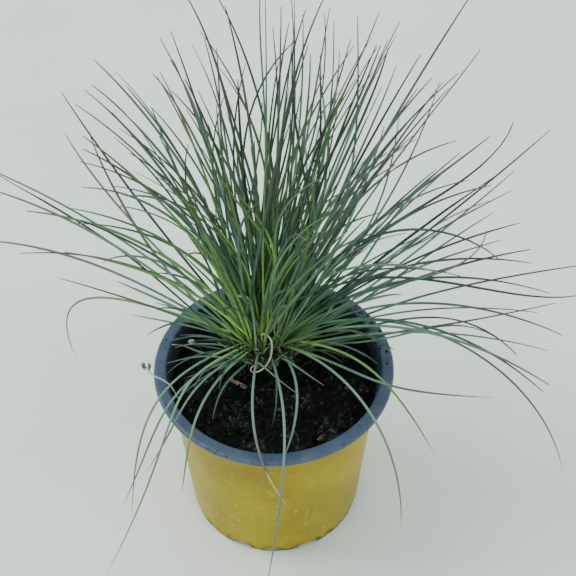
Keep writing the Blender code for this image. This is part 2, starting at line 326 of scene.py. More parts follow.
@dataclass(frozen=True)
class Ripples:
    """A rough field over the plane: a sum of waves of random heading, each its size times a sine.

    Attributes:
        longest: Length of the longest wave.
        shortest: Length of the shortest wave.
        waves: Number of waves.
        seed: Seed of the random headings and phases.
    """

    longest: float
    shortest: float
    waves: int
    seed: int

    def height(self, x: np.ndarray, y: np.ndarray) -> np.ndarray:
        """The field at these places, about from -1 to 1.

        Args:
            x: Places along X.
            y: Places along Y, of the same shape.

        Returns:
            The field's value at each place.
        """
        rng = np.random.default_rng(self.seed)
        lengths = self.longest * (self.shortest / self.longest) ** np.linspace(0.0, 1.0, self.waves)
        heading = rng.uniform(0.0, 2.0 * np.pi, self.waves)
        phase = rng.uniform(0.0, 2.0 * np.pi, self.waves)
        size = (lengths / self.longest) ** 0.7
        turn = 2.0 * np.pi / lengths
        along = x[..., None] * (turn * np.cos(heading)) + y[..., None] * (turn * np.sin(heading))
        return (np.sin(along + phase) * size).sum(axis=-1) / math.sqrt(0.5 * (size**2).sum()) / 2.0


# ---------------------------------------------------------------------------------------------------
# Finishes
# ---------------------------------------------------------------------------------------------------


class Graph:
    """A material's node graph, with short ways to add and join nodes."""

    def __init__(self, name: str, roughness: float, specular: float = 0.5) -> None:
        """Start a Principled material.

        Args:
            name: The material's name.
            roughness: Its roughness where no node sets it.
            specular: Its specular level.
        """
        self.material = bpy.data.materials.new(name)
        self.material.use_nodes = True
        self.nodes = self.material.node_tree.nodes
        self.shader = self.nodes["Principled BSDF"]
        self.shader.inputs["Roughness"].default_value = roughness
        self.shader.inputs["Specular IOR Level"].default_value = specular

    def add(self, kind: str, inputs: dict[str | int, object], **settings: object) -> bpy.types.Node:
        """Add a node, set its properties and fill its inputs.

        Args:
            kind: The node's type, without the ShaderNode in front.
            inputs: A value or another node's output for each input, by name or number.
            settings: Properties to set on it.

        Returns:
            The node.
        """
        node = self.nodes.new("ShaderNode" + kind)
        for name, value in settings.items():
            setattr(node, name, value)
        for name, value in inputs.items():
            self.put(value, node.inputs[name])
        return node

    def put(self, value: object, socket: bpy.types.NodeSocket) -> None:
        """Join an output to this input, or set the input to a plain value."""
        if isinstance(value, bpy.types.NodeSocket):
            self.material.node_tree.links.new(value, socket)
        else:
            socket.default_value = value

    def place(self, scale: tuple[float, float, float] = (1.0, 1.0, 1.0)) -> bpy.types.NodeSocket:
        """Object coordinates, stretched by this scale."""
        coordinates = self.add("TexCoord", {}).outputs["Object"]
        return self.add("Mapping", {"Vector": coordinates, "Scale": scale}).outputs["Vector"]

    def parts(self, vector: bpy.types.NodeSocket) -> tuple[bpy.types.NodeSocket, ...]:
        """A vector's X, Y and Z."""
        split = self.add("SeparateXYZ", {"Vector": vector})
        return tuple(split.outputs[axis] for axis in "XYZ")

    def grain(self, around: object, along: object, offset: object) -> bpy.types.NodeSocket:
        """Coordinates for a pattern that runs along a leaf, moved from leaf to leaf by the offset."""
        return self.add("CombineXYZ", {"X": around, "Y": along, "Z": offset}).outputs["Vector"]

    def noise(self, vector: bpy.types.NodeSocket, scale: float, detail: float = 4.0,
              roughness: float = 0.5) -> bpy.types.NodeSocket:
        """A noise value about 0.5 at these coordinates."""
        inputs = {"Vector": vector, "Scale": scale, "Detail": detail, "Roughness": roughness}
        return self.add("TexNoise", inputs).outputs["Fac"]

    def spots(self, vector: bpy.types.NodeSocket, scale: float, detail: float, roughness: float,
              low: float, high: float) -> bpy.types.NodeSocket:
        """Spots of noise: 0 where the noise is under low, 1 where it is over high."""
        return self.ramp(self.noise(vector, scale, detail, roughness), low, high)

    def ramp(self, value: bpy.types.NodeSocket, low: float, high: float, from_value: float = 0.0,
             to_value: float = 1.0) -> bpy.types.NodeSocket:
        """Carry the value from low..high to from_value..to_value, smoothly, held at both ends."""
        names = ("Value", "From Min", "From Max", "To Min", "To Max")
        inputs = dict(zip(names, (value, low, high, from_value, to_value)))
        return self.add("MapRange", inputs, interpolation_type="SMOOTHSTEP").outputs["Result"]

    def maths(self, operation: str, first: object, second: object = 0.0) -> bpy.types.NodeSocket:
        """One arithmetic step on two values."""
        return self.add("Math", {0: first, 1: second}, operation=operation).outputs["Value"]

    def times(self, first: object, second: object) -> bpy.types.NodeSocket:
        """The product of two values."""
        return self.maths("MULTIPLY", first, second)

    def plus(self, first: object, second: object) -> bpy.types.NodeSocket:
        """The sum of two values."""
        return self.maths("ADD", first, second)

    def less(self, first: object, second: object) -> bpy.types.NodeSocket:
        """The first value less the second."""
        return self.maths("SUBTRACT", first, second)

    def greater(self, first: object, second: object) -> bpy.types.NodeSocket:
        """The greater of two values."""
        return self.maths("MAXIMUM", first, second)

    def blend(self, share: object, first: object, second: object) -> bpy.types.NodeSocket:
        """Mix two colours: the first where the share is 0, the second where it is 1."""
        return self.add("Mix", {0: share, 6: first, 7: second}, data_type="RGBA").outputs[2]

    def mix_values(self) -> tuple[bpy.types.NodeSocket, ...]:
        """The piece's four mix numbers: red, green, blue and alpha."""
        attribute = self.add("Attribute", {}, attribute_name="mix")
        split = self.add("SeparateColor", {"Color": attribute.outputs["Color"]})
        return (*(split.outputs[i] for i in range(3)), attribute.outputs["Alpha"])

    def along(self) -> tuple[bpy.types.NodeSocket, bpy.types.NodeSocket]:
        """The piece's own U, round a section, and V, along it."""
        return self.parts(self.add("UVMap", {}, uv_map="along").outputs["UV"])[:2]

    def bump(self, height: bpy.types.NodeSocket, strength: float, depth: float) -> None:
        """Raise the surface by this height pattern, in metres of depth."""
        node = self.add("Bump", {"Strength": strength, "Distance": depth, "Height": height})
        self.put(node.outputs["Normal"], self.shader.inputs["Normal"])

    def dress(self, colour: object, roughness: object = None) -> bpy.types.Material:
        """Give the shader its colour and, where it varies, its roughness, and return the material."""
        self.put(colour, self.shader.inputs["Base Color"])
        if roughness is not None:
            self.put(roughness, self.shader.inputs["Roughness"])
        return self.material


@dataclass(frozen=True)
class LeafFinish:
    """A waxy needle leaf: blue-green, younger and yellower or bronzed from leaf to leaf.

    The mix attribute holds, in order, the bloom from dark to pale, the youth from blue-green to yellow
    green, the bronzing towards the tip, and the length of dead tip.
    """

    name: str = "fescue_leaf_wax"
    deep: Colour = (0.020, 0.058, 0.035, 1.0)
    far: Colour = (0.011, 0.024, 0.020, 1.0)
    bloom: Colour = (0.160, 0.305, 0.210, 1.0)
    wax: Colour = (0.165, 0.265, 0.222, 1.0)
    # young: the yellow green of young leaves, made brighter than their own colour as painted light that
    # lifts the shaded heart of the clump.
    young: Colour = (0.27, 0.50, 0.08, 1.0)
    bronze: Colour = (0.13, 0.085, 0.085, 1.0)
    straw: Colour = (0.50, 0.40, 0.25, 1.0)
    # sheath: the leaf bases' pale yellow green, brightened past their own colour as painted light for the
    # light through the shaded heart of the clump.
    sheath: Colour = (0.62, 1.0, 0.20, 1.0)
    roughness: float = 0.5

    def material(self) -> bpy.types.Material:
        """Build the leaf material: colour along the leaf with painted light, streaks, ridges and a dull wax.
        """
        graph = Graph(self.name, self.roughness, 0.35)
        around, along = graph.along()
        bloom, youth, bronze, dead = graph.mix_values()
        grain = graph.grain(graph.times(around, 5.0), graph.times(along, 9.0), graph.times(bloom, 37.0))
        streak = graph.noise(grain, 1.6, 5.0, 0.6)
        tone = graph.plus(bloom, graph.ramp(streak, 0.3, 0.7, -0.22, 0.22))
        colour = graph.blend(graph.ramp(tone, 0.0, 1.0), self.deep, self.bloom)
        waxen = graph.ramp(bloom, 0.9, 1.35)
        colour = graph.blend(waxen, colour, self.wax)
        darkest = graph.ramp(bloom, 0.15, 1.1, 0.95, 0.45)
        colour = graph.blend(graph.times(graph.ramp(along, 0.3, 0.95), darkest), colour, self.far)
        # Young leaves turn to the young colour, partly painted light over the shaded heart.
        fresh = graph.times(youth, graph.ramp(along, 0.45, 0.95, 1.0, 0.4))
        colour = graph.blend(fresh, colour, self.young)
        # Near the root each leaf turns to the sheath colour, more the younger and the less waxy it is: the
        # real pale base plus painted light over the shade inside the tufts.
        reach = graph.plus(graph.times(youth, 0.35), 0.28)
        most = graph.plus(graph.times(youth, 0.73), 0.27)
        most = graph.times(most, graph.less(1.0, waxen))
        root_sheath_and_painted_light = graph.ramp(graph.maths("DIVIDE", along, reach), 0.2, 1.0, 1.0, 0.0)
        colour = graph.blend(graph.times(root_sheath_and_painted_light, most), colour, self.sheath)
        late = graph.times(graph.ramp(along, 0.40, 0.95), bronze)
        colour = graph.blend(late, colour, self.bronze)
        past_live = graph.ramp(graph.less(along, graph.less(1.0, dead)), -0.03, 0.02)
        tip = graph.times(past_live, graph.ramp(dead, 0.0, 0.015))
        colour = graph.blend(tip, colour, self.straw)
        ridge = graph.maths("SINE", graph.times(around, 12.0 * math.pi))
        graph.bump(graph.plus(ridge, streak), 0.35, 0.05 * MM)
        dullness = graph.ramp(streak, 0.3, 0.7, self.roughness - 0.1, self.roughness + 0.12)
        return graph.dress(colour, dullness)


@dataclass(frozen=True)
class DryFinish:
    """Dead papery leaf and sheath, streaked along its length. The mix's first number runs pale to brown."""

    name: str
    pale: Colour = (0.60, 0.50, 0.33, 1.0)
    brown: Colour = (0.16, 0.095, 0.055, 1.0)

    def material(self) -> bpy.types.Material:
        """Build the dry material."""
        graph = Graph(self.name, 0.8, 0.25)
        around, along = graph.along()
        brownness, *_ = graph.mix_values()
        grain = graph.grain(graph.times(around, 14.0), graph.times(along, 5.0), graph.times(brownness, 23.0))
        fibre = graph.noise(grain, 2.0, 6.0, 0.65)
        tone = graph.plus(brownness, graph.ramp(fibre, 0.3, 0.7, -0.3, 0.3))
        graph.bump(fibre, 0.5, 0.1 * MM)
        return graph.dress(graph.blend(graph.ramp(tone, 0.0, 1.0), self.pale, self.brown))


@dataclass(frozen=True)
class PotOutsideFinish:
    """Mustard-yellow plastic, worn: soft tonal drift, chalky scuffs and dark grime at the foot."""

    name: str = "pot_yellow_plastic"
    yellow: Colour = (0.40, 0.312, 0.001, 1.0)
    warm: Colour = (0.245, 0.175, 0.001, 1.0)
    chalk: Colour = (0.56, 0.495, 0.16, 1.0)
    grime: Colour = (0.05, 0.042, 0.03, 1.0)

    def material(self) -> bpy.types.Material:
        """Build the yellow material."""
        graph = Graph(self.name, 0.42, 0.14)
        place = graph.place()
        height = graph.parts(place)[2]
        drift = graph.noise(place, 28.0, 3.0)
        colour = graph.blend(graph.ramp(drift, 0.2, 0.82), self.yellow, self.warm)
        patch = graph.spots(place, 42.0, 2.0, 0.5, 0.44, 0.66)
        flecks = graph.spots(place, 400.0, 4.0, 0.7, 0.55, 0.70)
        scuffs = graph.times(flecks, graph.plus(graph.times(patch, 0.6), 0.25))
        blots = graph.spots(place, 150.0, 4.0, 0.7, 0.62, 0.74)
        scuffs = graph.greater(scuffs, graph.times(blots, 0.6))
        hairs = graph.spots(graph.place((1.0, 1.0, 0.22)), 900.0, 2.0, 0.6, 0.66, 0.72)
        scuffs = graph.greater(scuffs, graph.times(hairs, graph.times(patch, 0.5)))
        colour = graph.blend(scuffs, colour, self.chalk)
        low = graph.ramp(height, 0.5 * MM, 9.0 * MM, 1.0, 0.0)
        foot_line = graph.ramp(height, 0.8 * MM, 4.5 * MM, 0.12, 0.0)
        dirt = graph.ramp(graph.plus(graph.noise(place, 300.0, 4.0, 0.65), foot_line), 0.50, 0.62)
        specks = graph.spots(place, 480.0, 2.0, 0.5, 0.70, 0.76)
        grime = graph.greater(graph.times(dirt, graph.times(low, 0.85)), graph.times(specks, 0.5))
        colour = graph.blend(grime, colour, self.grime)
        graph.bump(graph.plus(flecks, drift), 0.25, 0.08 * MM)
        return graph.dress(colour, graph.ramp(graph.greater(scuffs, grime), 0.0, 0.8, 0.4, 0.75))


@dataclass(frozen=True)
class PotInsideFinish:
    """Slate-blue plastic of the lip and the inside, dusted with dried peat."""

    name: str = "pot_slate_plastic"
    slate: Colour = (0.036, 0.063, 0.111, 1.0)
    worn: Colour = (0.063, 0.096, 0.140, 1.0)
    dust: Colour = (0.022, 0.022, 0.02, 1.0)
    lip_height: float = 90.0 * MM
    stain_height: float = 87.3 * MM

    def material(self) -> bpy.types.Material:
        """Build the slate material."""
        graph = Graph(self.name, 0.45)
        place = graph.place()
        height = graph.parts(place)[2]
        wear = graph.spots(place, 60.0, 5.0, 0.6, 0.40, 0.70)
        colour = graph.blend(wear, self.slate, self.worn)
        specks = graph.times(graph.spots(place, 380.0, 4.0, 0.7, 0.56, 0.66), 0.6)
        ragged = graph.ramp(graph.noise(place, 90.0, 5.0, 0.65), 0.25, 0.75, -3.0 * MM, 1.5 * MM)
        edge = graph.less(graph.less(height, self.stain_height), ragged)
        stain = graph.ramp(edge, -0.5 * MM, 1.2 * MM, 0.92, 0.0)
        inside = graph.ramp(height, self.lip_height - 1.6 * MM, self.lip_height - 1.1 * MM, 1.0, 0.0)
        dust = graph.greater(specks, graph.times(stain, inside))
        colour = graph.blend(dust, colour, self.dust)
        graph.bump(graph.noise(place, 500.0, 3.0), 0.2, 0.05 * MM)
        return graph.dress(colour, graph.ramp(dust, 0.0, 0.6, 0.4, 0.85))


@dataclass(frozen=True)
class PeatFinish:
    """Moist dark peat with pale grey-green flecks. The mix's first number lightens a crumb."""

    name: str = "moist_peat"
    black: Colour = (0.0004, 0.0010, 0.0009, 1.0)
    brown: Colour = (0.0022, 0.0034, 0.0028, 1.0)
    grit: Colour = (0.11, 0.14, 0.105, 1.0)

    def material(self) -> bpy.types.Material:
        """Build the peat material."""
        graph = Graph(self.name, 0.75, 0.15)
        place = graph.place()
        pale, *_ = graph.mix_values()
        lumps = graph.spots(place, 240.0, 6.0, 0.65, 0.38, 0.66)
        colour = graph.blend(lumps, self.black, self.brown)
        # Pale grey-green flecks, gathered in patches by the zone noise.
        zone = graph.spots(place, 85.0, 4.0, 0.6, 0.50, 0.60)
        grit = graph.spots(place, 480.0, 6.0, 0.85, 0.51, 0.61)
        share = graph.times(grit, graph.plus(graph.times(zone, 0.75), 0.04))
        share = graph.greater(share, pale)
        colour = graph.blend(share, colour, self.grit)
        graph.bump(graph.noise(place, 800.0, 6.0, 0.75), 1.0, 0.6 * MM)
        return graph.dress(colour, graph.ramp(grit, 0.0, 1.0, 0.6, 0.9))


@dataclass(frozen=True)
class GrainFinish:
    """A rough loose piece: one main colour, a second in its hollows, and a stretch for split wood."""

    name: str
    light: Colour
    dark: Colour
    grain: float
    stretch: tuple[float, float, float] = (1.0, 1.0, 1.0)

    def material(self) -> bpy.types.Material:
        """Build the grainy material."""
        graph = Graph(self.name, 0.85, 0.25)
        pattern = graph.noise(graph.place(self.stretch), self.grain, 6.0, 0.65)
        graph.bump(pattern, 0.7, 0.25 * MM)
        return graph.dress(graph.blend(graph.ramp(pattern, 0.32, 0.62), self.dark, self.light))


# ---------------------------------------------------------------------------------------------------
# Pot
# ---------------------------------------------------------------------------------------------------


def arc(centre: tuple[float, float], radius: float, start: float, end: float, count: int) -> np.ndarray:
    """Profile points of an arc: centre plus radius times (cosine, sine) of evenly spread angles.

    Args:
        centre: Radius and height of its centre.
        radius: Its radius.
        start: First angle in degrees.
        end: Last angle in degrees.
        count: Number of points.

    Returns:
        (count, 2) radius and height.
    """
    angle = np.radians(np.linspace(start, end, count))
    return np.stack((centre[0] + radius * np.cos(angle), centre[1] + radius * np.sin(angle)), axis=1)


def straight(start: tuple[float, float], end: tuple[float, float], count: int) -> np.ndarray:
    """Profile points spread evenly from start up to, but without, end."""
    share = np.arange(count)[:, None] / count
    return np.asarray(start) + share * (np.asarray(end) - np.asarray(start))


@dataclass
class NurseryPot:
    """The thin moulded pot: wall, flat rolled lip, floor and drain notches.

    Attributes:
        height: Overall height.
        rim_radius: Outer radius of the lip.
        top_radius: Outer radius of the wall at the top.
        foot_radius: Outer radius of the wall at the foot.
        wall: Thickness.
        flare: How far the wall flares out under the lip.
        flare_start: Height at which it starts to flare.
        lip_bend: Radius of the bend from the inner wall to the lip.
        lip_edge: Radius of the lip's outer edge.
        skirt: Depth of the lip's skirt under that edge.
        foot_bend: Radius of the foot's bend.
        toe: How far the inner wall's foot is bevelled.
        core: Radius of the first ring of points round the axis.
        notches: Number of drain notches.
        notch_width: Width of one notch.
        notch_height: Height of one notch.
        first_notch: Heading of the first notch, in degrees.
        steps: Faces round the pot.
    """

    height: float = field(default_factory=lambda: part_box("pot")[1].z)
    rim_radius: float = field(default_factory=lambda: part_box("pot")[1].x)
    top_radius: float = 46.3 * MM
    foot_radius: float = 40.3 * MM
    wall: float = 0.9 * MM
    flare: float = 1.7 * MM
    flare_start: float = 72.0 * MM
    lip_bend: float = 1.2 * MM
    lip_edge: float = 1.2 * MM
    skirt: float = 0.6 * MM
    foot_bend: float = 1.2 * MM
    toe: float = 2.4 * MM
    core: float = 3.0 * MM
    notches: int = 8
    notch_width: float = 10.0 * MM
    notch_height: float = 3.6 * MM
    first_notch: float = 21.5
    steps: int = 160

    def inner_radius(self, height: float) -> float:
        """The radius of the inner face at this height: a straight taper plus a squared flare."""
        taper_radius = self.foot_radius + (self.top_radius - self.foot_radius) * height / self.height
        flare_share = max(0.0, (height - self.flare_start) / (self.height - self.flare_start))
        return taper_radius + self.flare * flare_share**2 - self.wall

    def wall_run(self, low: float, high: float, count: int) -> np.ndarray:
        """(count, 2) points of the inner face from one height up to, but without, another."""
        heights = low + (high - low) * np.arange(count) / count
        return np.array([(self.inner_radius(height), height) for height in heights])

    def profile(self) -> tuple[np.ndarray, np.ndarray]:
        """The pot's section, from the middle of the floor over the lip to the middle of the foot.

        Returns:
            The profile's points, and the finish of each span: 0 for slate, 1 for yellow.
        """
        bend = (self.inner_radius(self.height - self.lip_bend) + self.lip_bend, self.height - self.lip_bend)
        edge = (self.rim_radius - self.lip_edge, self.height - self.lip_edge)
        corner = (self.foot_radius - self.toe, self.wall)
        inside = np.concatenate((
            straight((self.core, self.wall), corner, 6),
            straight(corner, (self.inner_radius(self.toe), self.toe), 3),
            self.wall_run(self.toe, bend[1], 30),
            arc(bend, self.lip_bend, 180.0, 90.0, 7),
            arc(edge, self.lip_edge, 90.0, 0.0, 7),
        ))
        skirt_z = edge[1] - self.skirt
        under = np.concatenate((
            arc((self.rim_radius - self.wall / 2.0, skirt_z), self.wall / 2.0, 0.0, -180.0, 6),
            arc(edge, self.lip_edge - self.wall, 0.0, 90.0, 4),
            arc(bend, self.lip_bend - self.wall, 90.0, 180.0, 5),
        ))
        foot = (self.foot_radius - self.foot_bend, self.foot_bend)
        outside = np.concatenate((
            (self.wall_run(self.foot_bend, bend[1] - 0.4 * MM, 34) + (self.wall, 0.0))[::-1],
            arc(foot, self.foot_bend, 0.0, -90.0, 6),
            straight((foot[0] - 1.0 * MM, 0.0), (self.core, 0.0), 6),
        ))
        points = np.concatenate((
            [[0.0, self.wall]], inside, under, outside, [[self.core, 0.0], [0.0, 0.0]],
        ))
        slate_spans = len(inside) + 5
        return points, (np.arange(len(points) - 3) >= slate_spans).astype(int)

    def notch_cutter(self) -> bpy.types.Object:
        """Rounded blocks round the foot, one for each notch.

        Each block is a superellipse, |across| to the fourth plus |up| to the fourth equal to one,
        carried straight out through the wall.

        Returns:
            The cutter, which is removed once it has cut.
        """
        circle = ring_section(24)
        section = np.sign(circle) * np.abs(circle) ** 0.5
        section[:, 1] *= self.notch_height / (self.notch_width / 2.0)
        outward, aside = level_axes(self.first_notch + np.arange(self.notches) * 360.0 / self.notches)
        reach = np.array((-5.0, -1.0, 1.0, 5.0)) * MM + self.foot_radius
        routes = outward[:, None, :] * reach[None, :, None]
        sides = np.repeat(aside[:, None, :], len(reach), axis=1)
        radii = np.full((self.notches, len(reach)), self.notch_width / 2.0)
        return tubes(routes, sides, radii, section, np.ones((self.notches, 4))).make("notch_cutter", [])

    def build(self) -> bpy.types.Object:
        """Turn the pot, cut its notches and dress it.

        Returns:
            The pot's piece.
        """
        points, finish = self.profile()
        surface = turned(points, self.steps, finish)
        dent = Ripples(90.0 * MM, 40.0 * MM, 6, 5).height(surface.points[:, 0], surface.points[:, 1])
        swing = 1.0 + 0.003 * dent * surface.points[:, 2] / self.height
        surface.points[:, :2] *= swing[:, None]
        pot = surface.make("nursery_pot", [PotInsideFinish().material(), PotOutsideFinish().material()])
        cutter = self.notch_cutter()
        cut = pot.modifiers.new("Drain notches", "BOOLEAN")
        cut.operation = "DIFFERENCE"
        cut.solver = "EXACT"
        cut.object = cutter
        whole = bpy.data.meshes.new_from_object(pot.evaluated_get(bpy.context.evaluated_depsgraph_get()))
        pot.modifiers.clear()
        pot.data = whole
        bpy.data.objects.remove(cutter, do_unlink=True)
        settle(pot, ["pot"])
        return pot


def settle(piece: bpy.types.Object, nodes: Sequence[str]) -> None:
    """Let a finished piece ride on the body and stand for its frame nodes.

    Args:
        piece: The piece.
        nodes: The frame nodes that it stands for.
    """
    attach(piece, BODY)
    if nodes:
        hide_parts(*nodes)
    LOG.info("%s: %d faces", piece.name, len(piece.data.polygons))


# ---------------------------------------------------------------------------------------------------
# Potting mix
# ---------------------------------------------------------------------------------------------------


@dataclass
class PottingMix:
    """The peat: a lumpy block, loose crumbs and fibres on it, and what has spilled on the lip.

    Attributes:
        pot: The pot that holds it.
        top: Height of the surface.
        gap: Clearance to the pot.
        lump: Height of the surface's lumps.
        fall: How far the surface falls towards the wall.
        fall_span: Distances from the axis where that fall starts and where it is complete.
        shoulder: Height above which the block's points follow the lumpy surface.
        crumbs: Number of loose crumbs.
        fibres: Number of loose fibres.
        seed: Seed of everything scattered.
    """

    pot: NurseryPot
    top: float = field(default_factory=lambda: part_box("potting_mix")[1].z)
    gap: float = 0.3 * MM
    lump: float = 1.9 * MM
    fall: float = 2.2 * MM
    fall_span: tuple[float, float] = (32.0 * MM, 44.0 * MM)
    shoulder: float = 60.0 * MM
    crumbs: int = 1500
    fibres: int = 80
    seed: int = 11

    def surface_height(self, x: np.ndarray, y: np.ndarray) -> np.ndarray:
        """Height of the peat: the top, less a fall near the wall, plus broad swells and sharp lumps.

        Args:
            x: Places along X.
            y: Places along Y.

        Returns:
            Heights at those places.
        """
        swell = Ripples(45.0 * MM, 14.0 * MM, 10, 3).height(x, y)
        lumps = np.abs(Ripples(11.0 * MM, 1.6 * MM, 60, 4).height(x, y))
        fallen = self.fall * np.interp(np.hypot(x, y), self.fall_span, (0.0, 1.0)) ** 2
        return self.top - 1.2 * MM + self.lump * (0.55 * swell + 1.1 * lumps) - fallen

    def block(self) -> bpy.types.Object:
        """The body of the peat: rings of points out to the wall, whose height is surface_height."""
        rim = self.pot.inner_radius(self.top - 2.0 * MM) - self.gap
        rings = np.linspace(0.6 * MM, rim, 110)
        floor_z = self.pot.wall + self.gap
        side = np.array((
            (self.pot.inner_radius(40.0 * MM) - self.gap, 40.0 * MM),
            (self.pot.inner_radius(3.2 * MM) - self.gap, 3.2 * MM),
            (self.pot.foot_radius - 3.2 * MM, floor_z),
            (3.0 * MM, floor_z),
        ))
        top = np.stack((rings, np.full(len(rings), self.top)), axis=1)
        profile = np.concatenate(([[0.0, self.top]], top, side, [[0.0, floor_z]]))
        surface = turned(profile, 260, np.zeros(len(profile) - 3, int))
        upper = surface.points[:, 2] > self.shoulder
        x, y = surface.points[upper, 0], surface.points[upper, 1]
        surface.points[upper, 2] = self.surface_height(x, y)
        surface.mix[:] = 0.0
        return surface.make("peat_block", [PeatFinish().material()])

    def scatter(self, count: int, rng: np.random.Generator) -> np.ndarray:
        """Random (count, 2) places spread evenly over the peat, clear of the wall."""
        radius = (self.pot.inner_radius(self.top) - 1.6 * MM) * np.sqrt(rng.uniform(0.0, 1.0, count))
        angle = rng.uniform(0.0, 2.0 * np.pi, count)
        return np.stack((radius * np.cos(angle), radius * np.sin(angle)), axis=1)

    def loose_crumbs(self) -> bpy.types.Object:
        """Crumbs on the peat, most of them dark and a few pale, and spilled crumbs on the lip."""
        rng = np.random.default_rng(self.seed)
        place = self.scatter(self.crumbs, rng)
        size = 0.35 * MM + 0.95 * MM * rng.uniform(0.0, 1.0, self.crumbs) ** 2.6
        height = self.surface_height(place[:, 0], place[:, 1]) + 0.35 * size
        on_lip, lip_size = self.spilled(rng)
        centres = np.concatenate((np.column_stack((place, height)), on_lip))
        size = np.concatenate((size, lip_size))
        sizes = size[:, None] * rng.uniform(0.5, 1.0, (len(size), 3))
        mix = np.zeros((len(size), 4))
        pale = rng.uniform(0.0, 1.0, len(size))
        mix[:, 0] = np.where(pale > 0.90, rng.uniform(0.02, 0.35, len(size)), 0.0)
        mix[-len(lip_size):, 0] *= 0.2
        crumbs = pebbles(centres, sizes, 0.28, mix, rng)
        return crumbs.make("peat_crumbs", [PeatFinish("loose_peat").material()])

    def spilled(self, rng: np.random.Generator) -> tuple[np.ndarray, np.ndarray]:
        """Crumbs that lie on the lip: a thick drift at the back right, and a few at the left.

        Returns:
            Their centres and sizes.
        """
        drift = rng.normal(28.0, 13.0, 120)
        strays = rng.normal(165.0, 22.0, 12)
        heading = np.radians(np.concatenate((drift, strays)))
        lip = self.pot.rim_radius - self.pot.lip_edge
        inner = self.pot.inner_radius(self.pot.height) + 0.6 * MM
        radius = rng.uniform(inner, lip, len(heading))
        size = 0.15 * MM + 0.5 * MM * rng.uniform(0.0, 1.0, len(heading)) ** 3
        height = np.full(len(heading), self.pot.height) + 0.3 * size
        return np.stack((radius * np.cos(heading), radius * np.sin(heading), height), axis=1), size

    def loose_fibres(self) -> bpy.types.Object:
        """Short bent fibres that lie on the peat: each follows a quarter of a turn of random radius."""
        rng = np.random.default_rng(self.seed + 1)
        place = self.scatter(self.fibres, rng) * 0.93
        heading = rng.uniform(0.0, 2.0 * np.pi, self.fibres)
        length = rng.uniform(2.5, 9.0, self.fibres) * MM
        share = np.linspace(0.0, 1.0, 9)
        bend = rng.uniform(-1.4, 1.4, self.fibres)
        turn = heading[:, None] + bend[:, None] * share[None]
        step = np.stack((np.cos(turn), np.sin(turn)), axis=-1) * (length / (len(share) - 1))[:, None, None]
        flat = place[:, None, :] + np.cumsum(step, axis=1) - step[:, :1]
        radius = np.hypot(flat[..., 0], flat[..., 1])
        limit = self.pot.inner_radius(self.top) - 1.2 * MM
        flat *= np.minimum(1.0, limit / radius)[..., None]
        thick = rng.uniform(0.06, 0.15, self.fibres) * MM
        arch = 0.9 * MM * rng.uniform(0.0, 1.0, (self.fibres, 1)) * np.sin(np.pi * share)[None]
        height = self.surface_height(flat[..., 0], flat[..., 1]) + thick[:, None] + arch
        routes = np.concatenate((flat, height[..., None]), axis=-1)
        side = np.stack((-np.sin(turn), np.cos(turn), np.zeros_like(turn)), axis=-1)
        radii = thick[:, None] * (1.0 - 0.5 * share[None])
        mix = np.zeros((self.fibres, 4))
        mix[:, 0] = rng.uniform(0.3, 1.0, self.fibres)
        surface = tubes(routes, side, radii, ring_section(4), mix)
        finish = DryFinish("dead_fibre", pale=(0.15, 0.145, 0.105, 1.0), brown=(0.02, 0.018, 0.013, 1.0))
        return surface.make("peat_fibres", [finish.material()])

    def build(self) -> None:
        """Make the peat and everything loose on it."""
        settle(self.block(), ["potting_mix"])
        settle(self.loose_crumbs(), [])
        settle(self.loose_fibres(), [])


# ---------------------------------------------------------------------------------------------------
# Leaves
# ---------------------------------------------------------------------------------------------------


def ring_section(corners: int) -> np.ndarray:
    """A round section: (corners, 2) cosines and sines."""
    angle = np.arange(corners) * 2.0 * np.pi / corners
    return np.stack((np.cos(angle), np.sin(angle)), axis=1)


def rolled_section() -> np.ndarray:
    """A needle leaf's section, rolled up with a groove along its upper face, in six corners."""
    return np.array(((0.95, 0.40), (0.0, 0.02), (-0.95, 0.40), (-0.72, -0.50), (0.0, -0.88), (0.72, -0.50)))


def fine_rolled_section() -> np.ndarray:
    """The same section with rounded keel and margins: a circle whose top is drawn in to a groove."""
    angle = np.radians(np.arange(12) * 30.0 + 15.0)
    groove = 1.0 - 0.78 * np.exp(-((np.cos(angle) / 0.42) ** 2)) * (np.sin(angle) > 0.0)
    return np.stack((np.cos(angle), np.sin(angle) * groove * 0.9), axis=1)


class Tone(Enum):
    """How a set of leaves is coloured: bloom, youth, bronzing and dead tip, each as (low, high)."""

    HEART = ((0.05, 0.80), (0.20, 1.15), (0.0, 0.8), (0.0, 0.006))
    BODY = ((0.05, 1.05), (0.0, 0.60), (0.0, 0.9), (0.0, 0.006))
    OUTER = ((0.05, 0.85), (0.0, 0.10), (0.0, 1.0), (0.0, 0.006))
    LEFT = ((0.10, 0.70), (0.20, 1.20), (0.0, 0.9), (0.0, 0.006))
    SKIRT = ((0.30, 1.30), (0.0, 0.05), (0.0, 0.9), (0.0, 0.005))

    def draw(self, count: int, rng: np.random.Generator) -> np.ndarray:
        """Random mix numbers for this many leaves. Few of them come near the full youth or bronzing.

        Args:
            count: Number of leaves.
            rng: The source of random numbers.

        Returns:
            (count, 4) mix numbers.
        """
        columns = [low + (high - low) * rng.uniform(0.0, 1.0, count) for low, high in self.value]
        mix = np.stack(columns, axis=1)
        mix[:, 1] *= rng.uniform(0.0, 1.0, count) ** 1.5
        mix[:, 2] *= rng.uniform(0.0, 1.0, count) ** 2
        return mix


